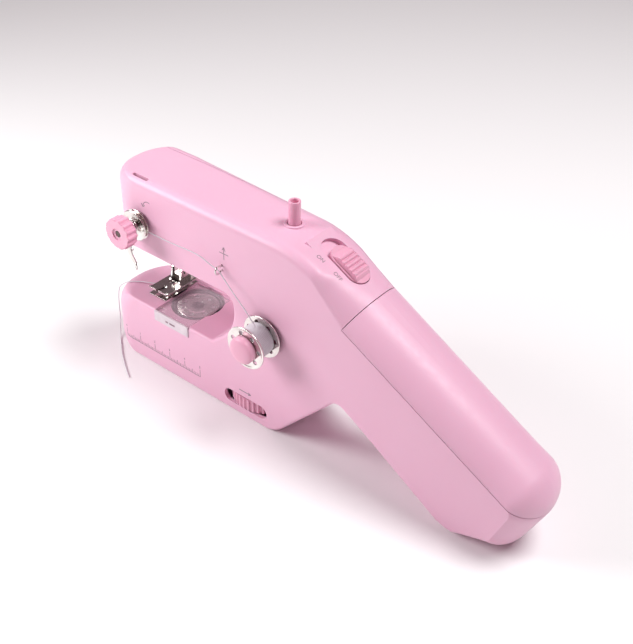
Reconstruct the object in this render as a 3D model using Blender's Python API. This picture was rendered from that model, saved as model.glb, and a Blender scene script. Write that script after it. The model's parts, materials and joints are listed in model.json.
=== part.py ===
"""Hand-held electric sewing machine.

Frame: metres, +X from the needle end towards the handle, -Y out of the front face, +Z up.
The origin lies on the flat base, under the axis of the bed bobbin.
"""
import math

import bmesh
import bpy
from mathutils import Matrix, Vector

MM = 0.001
GAP = 0.3 * MM          # clearance between pieces that sit together

# ---- driving dimensions of the case -------------------------------------------------
BODY_DEPTH = 36 * MM
WALL = 2 * MM
BED_LEFT = -46 * MM
ARM_LEFT = -37 * MM
BED_TOP = 35 * MM
ARM_UNDER = 66 * MM
ARM_TOP = 103.5 * MM
COLUMN_AHEAD = 5.58 * MM       # from the throat's end to the upright shaft's axis
BASE_RIGHT = 63.5 * MM
SHOULDER_X = 74.9 * MM
HANDLE_SLOPE = math.radians(29.2)
HANDLE_LENGTH = 141.6 * MM   # along its top, from the shoulder to the tip
SEAM_FROM_SHOULDER = 34.2 * MM   # along the top, to where the battery cover starts
HEEL_LENGTH = 29 * MM
HEEL_BEFORE_TIP = 15.5 * MM
NOTCH = (98.5 * MM, 38.5 * MM)   # inner corner between base and handle
BAND = 10.8 * MM             # depth of the battery cover below the handle's top
BACK_LIP = 5.5 * MM          # depth of the back cover
END_ROUND = 16.5 * MM          # plan radius of the free ends of arm and bed
END_REACH = 30 * MM

# ---- driving dimensions of the mechanism ----------------------------------------------
GEAR_MODULE = 0.8 * MM
HOOK_TEETH, IDLER_TEETH, DRIVE_TEETH = 15, 35, 30
REDUCTION_TEETH, PINION_TEETH = 30, 8
SHAFT_R = 2 * MM
SHAFT_Y = -2.5 * MM
ARM_SHAFT_Z = 86 * MM
WHEEL_Z, WHEEL_THICK, WHEEL_PROUD = 8.4 * MM, 6 * MM, 0.8 * MM
STROKE = 16 * MM
NEEDLE_X = -16.8 * MM
PRESSER_Y = 10.3 * MM
BOBBIN_R, BOBBIN_HIGH = 10.2 * MM, 11.2 * MM
COVER_HALF = 11 * MM
TENSION_X, TENSION_Z = -16.1 * MM, 81.2 * MM
SPINDLE_X, SPINDLE_Z = 58.7 * MM, 54.8 * MM
EYELET_X, EYELET_Z = 34.8 * MM, 79 * MM
EYELET_REACH, EYELET_R = 2.4 * MM, 1.9 * MM
PIN_X, PIN_Y = 60.5 * MM, -0.7 * MM
CELL_R, CELL_LONG = 7.1 * MM, 50 * MM
THREAD_R = 0.25 * MM

HALF = BODY_DEPTH / 2
SEAM_Y = HALF - BACK_LIP
HOOK_R = HOOK_TEETH * GEAR_MODULE / 2
IDLER_R = IDLER_TEETH * GEAR_MODULE / 2
DRIVE_R = DRIVE_TEETH * GEAR_MODULE / 2
REDUCTION_R = REDUCTION_TEETH * GEAR_MODULE / 2
PINION_R = PINION_TEETH * GEAR_MODULE / 2
IDLER_X = HOOK_R + IDLER_R
SHAFT_X = IDLER_X + math.sqrt((IDLER_R + DRIVE_R) ** 2 - SHAFT_Y ** 2)
THROAT_RIGHT = SHAFT_X - COLUMN_AHEAD
HEEL_RIGHT = SHOULDER_X + HANDLE_LENGTH * math.cos(HANDLE_SLOPE) - HEEL_BEFORE_TIP
MOTOR_Y = 2 * MM
MOTOR_X = SHAFT_X + math.sqrt((REDUCTION_R + PINION_R) ** 2 - (MOTOR_Y - SHAFT_Y) ** 2)

X, Y, Z = Vector((1, 0, 0)), Vector((0, 1, 0)), Vector((0, 0, 1))


# ---- scene, materials and small helpers ------------------------------------------------
def clear_scene():
    for obj in list(bpy.data.objects):
        bpy.data.objects.remove(obj, do_unlink=True)
    for name in ("sewing_machine", "cutters"):
        old = bpy.data.collections.get(name)
        if old:
            bpy.data.collections.remove(old)
        bpy.context.scene.collection.children.link(bpy.data.collections.new(name))


def make_material(name, colour, roughness, metallic=0.0):
    material = bpy.data.materials.get(name) or bpy.data.materials.new(name)
    material.use_nodes = True
    shader = material.node_tree.nodes["Principled BSDF"]
    shader.inputs["Base Color"].default_value = (*colour, 1)
    shader.inputs["Roughness"].default_value = roughness
    shader.inputs["Metallic"].default_value = metallic
    material.diffuse_color = (*colour, 1)
    return material


def place(obj, material=None):
    """Put a new object in the machine's collection, or with the cutters when it has no material."""
    for user in list(obj.users_collection):
        user.objects.unlink(obj)
    if material:
        bpy.data.collections["sewing_machine"].objects.link(obj)
        obj.data.materials.clear()
        obj.data.materials.append(material)
    else:
        bpy.data.collections["cutters"].objects.link(obj)
        obj.hide_render = True
        obj.display_type = 'WIRE'
    return obj


def from_bmesh(name, mesh, material=None):
    bmesh.ops.recalc_face_normals(mesh, faces=mesh.faces)
    data = bpy.data.meshes.new(name)
    mesh.to_mesh(data)
    mesh.free()
    return place(bpy.data.objects.new(name, data), material)


def facing(axis):
    """Rotation that turns +Z to the axis."""
    return axis.to_track_quat('Z', 'Y').to_matrix().to_4x4()


def block(name, low, high, material=None, bevel=0.0):
    mesh = bmesh.new()
    size = [high[i] - low[i] for i in range(3)]
    centre = [(high[i] + low[i]) / 2 for i in range(3)]
    bmesh.ops.create_cube(mesh, size=1)
    bmesh.ops.scale(mesh, vec=size, verts=mesh.verts)
    if bevel:
        bmesh.ops.bevel(mesh, geom=mesh.edges, offset=bevel, segments=2, profile=0.5, affect='EDGES')
    obj = from_bmesh(name, mesh, material)
    obj.location = centre
    return obj


def rod(name, start, axis, length, radius, material=None, sides=16, bevel=0.0, tip=None):
    """Round bar from start along axis; tip is its radius at the far end."""
    mesh = bmesh.new()
    far = radius if tip is None else tip
    bmesh.ops.create_cone(mesh, cap_ends=True, segments=sides, radius1=radius, radius2=far, depth=length,
                          matrix=Matrix.Translation((0, 0, length / 2)))
    if bevel:
        rims = [e for e in mesh.edges if abs(e.verts[0].co.z - e.verts[1].co.z) < 1e-9]
        bmesh.ops.bevel(mesh, geom=rims, offset=bevel, segments=1, profile=0.5, affect='EDGES')
    obj = from_bmesh(name, mesh, material)
    obj.matrix_world = Matrix.Translation(start) @ facing(axis)
    return obj


def turned(name, profile, start, axis, material=None, steps=24):
    """Turned piece: profile is a closed run of (radius, height) points."""
    mesh = bmesh.new()
    verts = [mesh.verts.new((r, 0, h)) for r, h in profile]
    edges = [mesh.edges.new((verts[i], verts[(i + 1) % len(verts)])) for i in range(len(verts))]
    bmesh.ops.spin(mesh, geom=edges + verts, cent=(0, 0, 0), axis=(0, 0, 1), angle=math.tau,
                   steps=steps, use_duplicate=False)
    bmesh.ops.remove_doubles(mesh, verts=mesh.verts, dist=1e-7)
    obj = from_bmesh(name, mesh, material)
    obj.matrix_world = Matrix.Translation(start) @ facing(axis)
    return obj


def prism(name, outline, low, high, axis='Y', material=None, bevel=0.0):
    """Flat outline swept from low to high along an axis. Points are (x, z) for Y, (x, y) for Z, (y, z) for X."""
    def at(point, depth):
        u, v = point
        return {'Y': (u, depth, v), 'Z': (u, v, depth), 'X': (depth, u, v)}[axis]
    mesh = bmesh.new()
    near = [mesh.verts.new(at(p, low)) for p in outline]
    far = [mesh.verts.new(at(p, high)) for p in outline]
    count = len(outline)
    caps = [mesh.faces.new(near), mesh.faces.new(far)]
    for i in range(count):
        mesh.faces.new((near[i], near[(i + 1) % count], far[(i + 1) % count], far[i]))
    if bevel:
        rims = [e for cap in caps for e in cap.edges]
        bmesh.ops.bevel(mesh, geom=rims, offset=bevel, segments=1, profile=0.5, affect='EDGES')
    return from_bmesh(name, mesh, material)


def arc(cx, cy, radius, start, end, steps):
    """Points on a circle's arc, in degrees."""
    turns = [math.radians(start + (end - start) * i / steps) for i in range(steps + 1)]
    return [(cx + radius * math.cos(t), cy + radius * math.sin(t)) for t in turns]


def stadium(cx, cy, long, high, steps=8):
    """Outline with two straight sides and round ends, long along the first axis."""
    r = high / 2
    run = long / 2 - r
    return arc(cx + run, cy, r, -90, 90, steps) + arc(cx - run, cy, r, 90, 270, steps)


def smooth_route(points, spacing):
    """Even points on a smooth curve through the given ones."""
    points = [Vector(p) for p in points]
    dense = []
    for i in range(len(points) - 1):
        before = points[max(i - 1, 0)]
        after = points[min(i + 2, len(points) - 1)]
        a, b = points[i], points[i + 1]
        for k in range(24):
            t = k / 24
            dense.append(0.5 * (2 * a + (b - before) * t + (2 * before - 5 * a + 4 * b - after) * t ** 2
                                + (3 * a - before - 3 * b + after) * t ** 3))
    dense.append(points[-1])
    length = sum((dense[i + 1] - dense[i]).length for i in range(len(dense) - 1))
    count = max(2, round(length / spacing))
    even, walked, target = [dense[0]], 0.0, length / count
    for i in range(len(dense) - 1):
        step = (dense[i + 1] - dense[i]).length
        while walked + step >= target * len(even) and len(even) < count:
            even.append(dense[i].lerp(dense[i + 1], (target * len(even) - walked) / step))
        walked += step
    return even + [dense[-1]]


def tube(name, points, radius, material=None, closed=False, round_steps=1):
    """Wire or cord on a poly spline, turned into a welded mesh."""
    curve = bpy.data.curves.new(name, 'CURVE')
    curve.dimensions = '3D'
    curve.bevel_depth = radius
    curve.bevel_resolution = round_steps
    curve.use_fill_caps = True
    spline = curve.splines.new('POLY')
    spline.points.add(len(points) - 1)
    for point, co in zip(spline.points, points):
        point.co = (*co, 1)
    spline.use_cyclic_u = closed
    source = bpy.data.objects.new(name + "_curve", curve)
    bpy.context.scene.collection.objects.link(source)
    data = bpy.data.meshes.new_from_object(source.evaluated_get(bpy.context.evaluated_depsgraph_get()))
    bpy.data.objects.remove(source, do_unlink=True)
    mesh = bmesh.new()
    mesh.from_mesh(data)
    bpy.data.meshes.remove(data)
    bmesh.ops.remove_doubles(mesh, verts=mesh.verts, dist=1e-6)
    return from_bmesh(name, mesh, material)


def coil_points(centre, axis, radii, length, turns, per_turn=12):
    """Helix from centre along axis, its radius going from the first to the second of radii."""
    frame = Matrix.Translation(centre) @ facing(axis)
    count = int(turns * per_turn)
    points = []
    for i in range(count + 1):
        t = i / count
        r = radii[0] + (radii[1] - radii[0]) * t
        angle = math.tau * turns * t
        points.append(frame @ Vector((r * math.cos(angle), r * math.sin(angle), length * t)))
    return points


def boolean(obj, other, operation='DIFFERENCE'):
    modifier = obj.modifiers.new(other.name, 'BOOLEAN')
    modifier.operation = operation
    modifier.object = other
    modifier.solver = 'EXACT'
    return obj


def cut(obj, *cutters):
    for cutter in cutters:
        boolean(obj, cutter)
    return obj


def join(obj, *others):
    for other in others:
        boolean(obj, other, 'UNION')
    return obj


def gear(name, centre, axis, teeth, thick, bore, material, phase=0.0, module=GEAR_MODULE, taper=1.0):
    """Spur gear with straight-sided teeth and backlash; taper below 1 makes a bevel gear."""
    pitch = teeth * module / 2
    tip, root = pitch + 0.7 * module, pitch - 1.0 * module
    shape = []
    for tooth in range(teeth):
        middle = phase + math.tau * tooth / teeth
        for r, share in ((root, -0.30), (tip, -0.11), (tip, 0.11), (root, 0.30)):
            angle = middle + share * math.tau / teeth
            shape.append((r * math.cos(angle), r * math.sin(angle)))
    mesh = bmesh.new()
    near = [mesh.verts.new((x, y, 0)) for x, y in shape]
    far = [mesh.verts.new((x * taper, y * taper, thick)) for x, y in shape]
    mesh.faces.new(near)
    mesh.faces.new(far)
    for i in range(len(shape)):
        mesh.faces.new((near[i], near[(i + 1) % len(shape)], far[(i + 1) % len(shape)], far[i]))
    obj = from_bmesh(name, mesh, material)
    frame = {'X': Matrix.Rotation(math.pi / 2, 4, 'Y'), 'Z': Matrix.Identity(4)}[axis]
    obj.matrix_world = Matrix.Translation(centre) @ frame
    hole = rod(name + "_bore", (0, 0, -MM), Z, thick + 2 * MM, bore)
    hole.matrix_world = obj.matrix_world @ hole.matrix_world
    return cut(obj, hole)


# ---- the handle's own frame ---------------------------------------------------------------
ALONG = Vector((math.cos(HANDLE_SLOPE), 0, -math.sin(HANDLE_SLOPE)))
OUT = Vector((math.sin(HANDLE_SLOPE), 0, math.cos(HANDLE_SLOPE)))
SHOULDER = Vector((SHOULDER_X, 0, ARM_TOP))


def handle_point(s, y, depth):
    """s along the handle's top from the battery cover's seam, depth below that top."""
    return SHOULDER + ALONG * (SEAM_FROM_SHOULDER + s) - OUT * depth + Y * y


def handle_frame():
    """Matrix with local X along the handle, local Y across and local Z out of its top."""
    rows = Matrix((ALONG, Y, OUT)).transposed().to_4x4()
    return Matrix.Translation(handle_point(0, 0, 0)) @ rows


def on_handle(obj):
    obj.matrix_world = handle_frame() @ obj.matrix_basis
    return obj


# ---- case outline and skin -------------------------------------------------------------------
def case_corners():
    """Corners of the side view, anticlockwise from the bed's lower left.

    Each is (x, z, fillet, front edge inset, back edge inset, crown). The crown is the share of the
    edge that follows one broad arc over the case's depth instead of a quarter round.
    """
    tip = SHOULDER + ALONG * HANDLE_LENGTH
    line = [SHOULDER + ALONG * s * MM for s in (18, 34)]
    tail = SHOULDER + ALONG * (HANDLE_LENGTH - 22 * MM)
    return [
        (BED_LEFT, 0, 8 * MM, 1.5 * MM, 2 * MM, 0),
        (BASE_RIGHT, 0, 14 * MM, 1.5 * MM, 3 * MM, 0),
        (*NOTCH, 5 * MM, 1.5 * MM, 3 * MM, 0),
        (HEEL_RIGHT - HEEL_LENGTH, 0, 20 * MM, 3 * MM, 4 * MM, 0.5),
        (HEEL_RIGHT, 0, 11 * MM, 9 * MM, 9 * MM, 0.9),
        (tip.x, tip.z, 15 * MM, 10 * MM, 10 * MM, 1),
        (tail.x, tail.z, 0, BAND - GAP, BAND - GAP, 1),
        (line[1].x, line[1].z, 0, 10.2 * MM, 10.4 * MM, 0.75),
        (line[0].x, line[0].z, 0, 6 * MM, 11 * MM, 0.3),
        (SHOULDER_X, ARM_TOP, 50 * MM, 4.5 * MM, 12 * MM, 0),
        (ARM_LEFT + 24 * MM, ARM_TOP, 0, 4 * MM, 5 * MM, 0),
        (ARM_LEFT, ARM_TOP, 7 * MM, 3.5 * MM, 5 * MM, 0),
        (ARM_LEFT, ARM_UNDER, 3.5 * MM, 1.2 * MM, 2 * MM, 0),
        (THROAT_RIGHT, ARM_UNDER, 6 * MM, 1.2 * MM, 2 * MM, 0),
        (THROAT_RIGHT, ARM_UNDER - 18.6 * MM, 24 * MM, 1.5 * MM, 2 * MM, 0),
        (THROAT_RIGHT - 14.3 * MM, BED_TOP, 3 * MM, 1.5 * MM, 2 * MM, 0),
        (BED_LEFT, BED_TOP, 12 * MM, 1.5 * MM, 2 * MM, 0),
    ]


CROWN_TURN = math.radians(60)   # slope at which the crown meets the side


def edge_profile(radius, crown, wall, t):
    """Inset and depth of an edge, from the side face (t = 0) to the rim (t = 1)."""
    turn, lean = t * math.pi / 2, CROWN_TURN * (1 - t)
    wide = HALF - wall - 0.5 * MM
    arc_in = (1 - math.cos(lean)) / (1 - math.cos(CROWN_TURN))
    arc_across = 1 - math.sin(lean) / math.sin(CROWN_TURN)
    inset = radius * ((1 - math.sin(turn)) * (1 - crown) + arc_in * crown)
    depth = radius * (1 - math.cos(turn)) * (1 - crown) + wide * arc_across * crown
    return inset, depth


def rounded_outline(corners, arc_step=math.radians(23), spacing=22 * MM):
    """Filleted outline: rows of (point, inward normal, front inset, back inset, crown)."""
    count = len(corners)
    spots = [Vector(c[:2]) for c in corners]
    fillets = []
    for i, corner in enumerate(corners):
        before = (spots[i] - spots[i - 1]).normalized()
        after = (spots[(i + 1) % count] - spots[i]).normalized()
        turn = math.atan2(before.x * after.y - before.y * after.x, before.dot(after))
        reach = corner[2] * math.tan(abs(turn) / 2)
        fillets.append((before, after, turn, reach))
    rows = []
    for i, corner in enumerate(corners):
        before, after, turn, reach = fillets[i]
        edge = corner[3:]
        if corner[2] == 0:
            normal = Vector((-(before + after).y, (before + after).x)).normalized()
            rows.append((spots[i], normal, *edge))
        else:
            steps = max(2, math.ceil(abs(turn) / arc_step))
            start = spots[i] - before * reach
            inward = Vector((-before.y, before.x))
            side = 1 if turn > 0 else -1
            centre = start + inward * corner[2] * side
            for k in range(steps + 1):
                normal = Matrix.Rotation(turn * k / steps, 2) @ inward
                rows.append((centre - normal * corner[2] * side, normal, *edge))
        last = rows[-1]
        following = corners[(i + 1) % count]
        goal = spots[(i + 1) % count] - after * (fillets[(i + 1) % count][3])
        pieces = int((goal - last[0]).length / spacing)
        normal = Vector((-after.y, after.x))
        for k in range(1, pieces + 1):
            t = k / (pieces + 1)
            mixed = [edge[j] + (following[3 + j] - edge[j]) * t for j in range(3)]
            rows.append((last[0].lerp(goal, t), normal, *mixed))
    return rows


def end_shift(x, z, off_middle, wall):
    """How far the plan rounding of a free end moves a point along X."""
    end = ARM_LEFT if z > (BED_TOP + ARM_UNDER) / 2 else BED_LEFT
    fade = min(max(1 - (x - end) / END_REACH, 0), 1)
    past = abs(off_middle) - (HALF - END_ROUND)
    radius = END_ROUND - wall
    if past <= 0:
        return 0
    return fade * (radius - math.sqrt(max(radius ** 2 - past ** 2, 0)))


def skin(name, wall, material=None, edge_steps=3, body_steps=4):
    """Closed case surface from the front face to the back one; a wall above zero gives the hollow inside it."""
    mesh = bmesh.new()
    outline = rounded_outline(case_corners())
    levels = [(-1, k / edge_steps) for k in range(edge_steps + 1)]
    levels += [(0, k / body_steps) for k in range(1, body_steps)]
    levels += [(1, 1 - k / edge_steps) for k in range(edge_steps + 1)]
    rings = []
    for side, t in levels:
        ring = []
        for point, normal, front, back, crown in outline:
            front = max(front - 0.55 * wall, 0.5 * MM)
            back = max(back - 0.55 * wall, 0.5 * MM)
            if side:
                inset, depth = edge_profile(front if side < 0 else back, crown, wall, t)
                y = side * (HALF - wall - depth)
            else:
                start = edge_profile(front, crown, wall, 1)[1] - (HALF - wall)
                end = HALF - wall - edge_profile(back, crown, wall, 1)[1]
                inset, y = 0, start + (end - start) * t
            spot = point + normal * (wall + inset)
            spot.x += end_shift(spot.x, spot.y, y, wall)
            ring.append(mesh.verts.new((spot.x, y, spot.y)))
        rings.append(ring)
    count = len(outline)
    for near, far in zip(rings, rings[1:]):
        for i in range(count):
            mesh.faces.new((near[i], near[(i + 1) % count], far[(i + 1) % count], far[i]))
    mesh.faces.new(rings[0])
    mesh.faces.new(rings[-1])
    return from_bmesh(name, mesh, material)


def cover_region(name, start, clearance):
    """Everything above the battery cover's lower edge, from its seam outwards."""
    obj = block(name, (start, -HALF - 5 * MM, -BAND + clearance),
                (HANDLE_LENGTH + 20 * MM, HALF + 5 * MM, 20 * MM))
    return on_handle(obj)


# ---- the case ----------------------------------------------------------------------------------
SCREW_HEAD_R, SCREW_R, BOSS_R = 2.6 * MM, 1.2 * MM, 4 * MM
SCREW_SEAT = SEAM_Y


def screw_places():
    """Screw axes, tied to the case: arm top, bed's left, base's right and the handle's heel."""
    return [(26 * MM, ARM_TOP - 9.5 * MM), (BED_LEFT + 18.5 * MM, 8 * MM),
            (BASE_RIGHT + 13.5 * MM, 28 * MM), (HEEL_RIGHT - 12 * MM, 17 * MM)]


def switch_pocket(name, grow, top, bottom, start=-32.5 * MM, end=-7.5 * MM, half=5.9 * MM):
    """Rounded-end pocket on the shoulder, from top to bottom below the handle's top line."""
    middle = (start + end) / 2
    outline = stadium(middle, 0, end - start + 2 * grow, 2 * (half + grow))
    return on_handle(prism(name, outline, -bottom, -top, 'Z'))


def make_case(pink):
    hollow = skin("hollow", WALL, edge_steps=2, body_steps=2)
    far = 300 * MM
    main = cut(skin("main_shell", 0, pink), hollow)
    back = cut(skin("back_cover", 0, pink), hollow)
    cover = cut(skin("battery_cover", 0, pink), hollow)
    for i, (x, z) in enumerate(screw_places()):
        boss = rod(f"boss_{i}", (x, -HALF + WALL / 2, z), Y, 2 * HALF - WALL, BOSS_R)
        join(main, boss)
        join(back, boss)
    opening = cover_region("battery_opening", 0, 0)
    cut(main, block("behind_seam", (-far, SEAM_Y - GAP / 2, -far), (far, far, far)), opening)
    cut(back, block("before_seam", (-far, -far, -far), (far, SEAM_Y + GAP / 2, far)), opening)
    boolean(cover, cover_region("cover_keep", GAP, GAP), 'INTERSECT')

    for i, (x, z) in enumerate(screw_places()):
        cut(main, rod(f"screw_hole_{i}", (x, SCREW_SEAT - 16.5 * MM, z), Y, 18 * MM, SCREW_R + GAP))
        cut(back, rod(f"back_hole_{i}", (x, SCREW_SEAT - 12.5 * MM, z), Y, 19 * MM, SCREW_R + GAP))
        cut(back, rod(f"counterbore_{i}", (x, SCREW_SEAT + 2.6 * MM, z), Y, HALF, SCREW_HEAD_R + GAP))
    return main, back, cover


def make_screws(steel):
    """Self-tapping pan-head screws that hold the back cover."""
    for i, (x, z) in enumerate(screw_places()):
        seat = SCREW_SEAT + 2.6 * MM + 0.1 * MM
        head = rod(f"case_screw_{i + 1}", (x, seat, z), Y, 1.6 * MM, SCREW_HEAD_R, steel, 14, None, SCREW_HEAD_R * 0.8)
        join(head, rod(f"screw_shank_{i}", (x, seat + 0.5 * MM, z), -Y, 14 * MM, SCREW_R, None, 10))
        for turn in (0, math.pi / 2):
            slot = block(f"screw_cross_{i}_{turn:.0f}", (-1.5 * MM, -MM, -0.3 * MM), (1.5 * MM, MM, 0.3 * MM))
            slot.matrix_world = Matrix.Translation((x, seat + 1.9 * MM, z)) @ Matrix.Rotation(turn, 4, 'Y')
            cut(head, slot)


# ---- bed: needle plate, bobbin, hook, feed ----------------------------------------------------
PLATE_THICK = 1.1 * MM
PLATE = (NEEDLE_X - 6.2 * MM, -9.8 * MM, NEEDLE_X + 4.6 * MM, 12 * MM)   # x, y, x, y
FEED_X = (NEEDLE_X - 4 * MM, NEEDLE_X + 2.9 * MM)
FEED_TRAVEL = 1.25 * MM
COVER_THICK, COVER_LIP = 1.2 * MM, 5.5 * MM
COVER_BACK = 11 * MM


def cut_bed(main):
    """Openings in the bed for the needle plate, the bobbin and its cover, and the idler's moulded stud."""
    join(main, rod("idler_stud", (IDLER_X, 0, WALL / 2), Z, GEAR_Z + GEAR_THICK, SHAFT_R, None, 20))
    deck = BED_TOP - PLATE_THICK
    cut(main, block("plate_seat", (PLATE[0] - 0.2 * MM, PLATE[1] - 0.2 * MM, deck),
                    (PLATE[2] + 0.2 * MM, PLATE[3] + 0.2 * MM, BED_TOP + 3 * MM)))
    cut(main, block("feed_window", (PLATE[0] + 0.9 * MM, -8 * MM, BED_TOP - 6 * MM),
                    (PLATE[2] - 0.8 * MM, 9 * MM, BED_TOP + 3 * MM)))
    seat = BED_TOP - COVER_THICK
    cut(main, block("cover_seat", (-COVER_HALF - 0.2 * MM, -HALF - 3 * MM, seat - 0.1 * MM),
                    (COVER_HALF + 0.2 * MM, COVER_BACK + 0.3 * MM, BED_TOP + 3 * MM)))
    cut(main, block("cover_front_seat", (-COVER_HALF - 0.2 * MM, -HALF - 3 * MM, BED_TOP - COVER_LIP - GAP),
                    (COVER_HALF + 0.2 * MM, -HALF + 0.8 * MM, BED_TOP + 3 * MM)))
    cut(main, rod("bobbin_mouth", (0, 0, BED_TOP - 8 * MM), Z, 12 * MM, BOBBIN_R + 2.7 * MM, None, 32))


def make_bed_parts(steel, clear, dark):
    plate = block("needle_plate", (PLATE[0], PLATE[1], BED_TOP - PLATE_THICK + 0.1 * MM),
                  (PLATE[2], PLATE[3], BED_TOP + 0.2 * MM), steel)
    cut(plate, rod("needle_hole", (NEEDLE_X, 0, BED_TOP - 3 * MM), Z, 6 * MM, 1.3 * MM))
    for i, x in enumerate(FEED_X):
        cut(plate, block(f"feed_slot_{i}", (x - 0.9 * MM, -5.2 * MM, BED_TOP - 3 * MM),
                         (x + 0.9 * MM, 6.8 * MM, BED_TOP + 3 * MM)))
    feed = block("feed_dog", (FEED_X[0] - 0.6 * MM, 2.2 * MM, BED_TOP - 4.9 * MM),
                 (FEED_X[1] + 0.6 * MM, 5 * MM, BED_TOP - 3.4 * MM), steel)
    for i, x in enumerate(FEED_X):
        teeth = [(-3.5 * MM, BED_TOP - 4.4 * MM), (5.1 * MM, BED_TOP - 4.4 * MM)]
        for k in range(7, -1, -1):
            y = -3.4 * MM + k * 1.05 * MM
            teeth += [(y + 0.9 * MM, BED_TOP + 0.9 * MM), (y + 0.1 * MM, BED_TOP + 0.5 * MM)]
        join(feed, prism(f"feed_rib_{i}", teeth, x - 0.5 * MM, x + 0.5 * MM, 'X'))

    top = BED_TOP + 0.1 * MM
    profile = [(-HALF - 0.6 * MM, BED_TOP - COVER_LIP), (-HALF + 0.5 * MM, BED_TOP - COVER_LIP),
               (-HALF + 0.5 * MM, top - COVER_THICK), (COVER_BACK, top - COVER_THICK), (COVER_BACK, top),
               (-HALF + 0.1 * MM, top), (-HALF - 0.4 * MM, top - 0.3 * MM), (-HALF - 0.6 * MM, top - 0.8 * MM)]
    cover = prism("bobbin_cover", profile, -COVER_HALF, COVER_HALF, 'X', clear)

    case_low = BED_TOP - 14.6 * MM
    turned("bobbin_case", [(12.2 * MM, case_low), (12.2 * MM, BED_TOP - 2.2 * MM), (11.2 * MM, BED_TOP - 2.2 * MM),
                           (11.2 * MM, case_low + 1.2 * MM), (2.2 * MM, case_low + 1.2 * MM),
                           (2.2 * MM, case_low)], (0, 0, 0), Z, dark)
    low = case_low - 1.4 * MM
    hook = turned("rotary_hook", [(14.4 * MM, low), (14.4 * MM, BED_TOP - 5.4 * MM), (12.9 * MM, BED_TOP - 5.4 * MM),
                                  (12.9 * MM, low + 1 * MM), (1.6 * MM, low + 1 * MM), (1.6 * MM, low)],
                  (0, 0, 0), Z, steel)
    join(hook, rod("hook_shaft", (0, 0, WALL + GAP), Z, low - WALL + 0.4 * MM, SHAFT_R))
    cut(hook, block("hook_gap", (9 * MM, 2 * MM, low + 4 * MM), (18 * MM, 12 * MM, BED_TOP)))
    return cover


def make_bobbin(name, thread_name, start, axis, fill, steel, thread):
    """Metal bobbin with holes in its flanges, and the thread wound on it."""
    rim, hub, bore, flange = BOBBIN_R, 5 * MM, 3.1 * MM, 0.8 * MM
    profile = [(bore, 0), (bore, BOBBIN_HIGH), (rim - 0.5 * MM, BOBBIN_HIGH), (rim, BOBBIN_HIGH - 0.3 * MM),
               (rim, BOBBIN_HIGH - flange), (hub, BOBBIN_HIGH - flange), (hub, flange), (rim, flange),
               (rim, 0.3 * MM), (rim - 0.5 * MM, 0)]
    bobbin = turned(name, profile, start, axis, steel, 24)
    for i in range(7):
        angle = math.tau * (i + 0.13) / 7
        hole = rod(f"{name}_hole_{i}", (7.6 * MM * math.cos(angle), 7.6 * MM * math.sin(angle), -MM), Z,
                   BOBBIN_HIGH + 2 * MM, 1.1 * MM, None, 6)
        hole.matrix_world = bobbin.matrix_world @ hole.matrix_world
        cut(bobbin, hole)
    inner, low, high = hub + 0.1 * MM, flange + 0.1 * MM, BOBBIN_HIGH - flange - 0.1 * MM
    turned(thread_name, [(inner, low), (inner, high), (fill, high), (fill, low)], start, axis, thread, 24)


# ---- shafts and gears ------------------------------------------------------------------------
GEAR_Z, GEAR_THICK = 13 * MM, 3 * MM
REDUCTION_Z = 72 * MM
BEVEL_TEETH, BEVEL_MODULE = 14, 0.7 * MM
CRANK_X = -8 * MM


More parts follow.
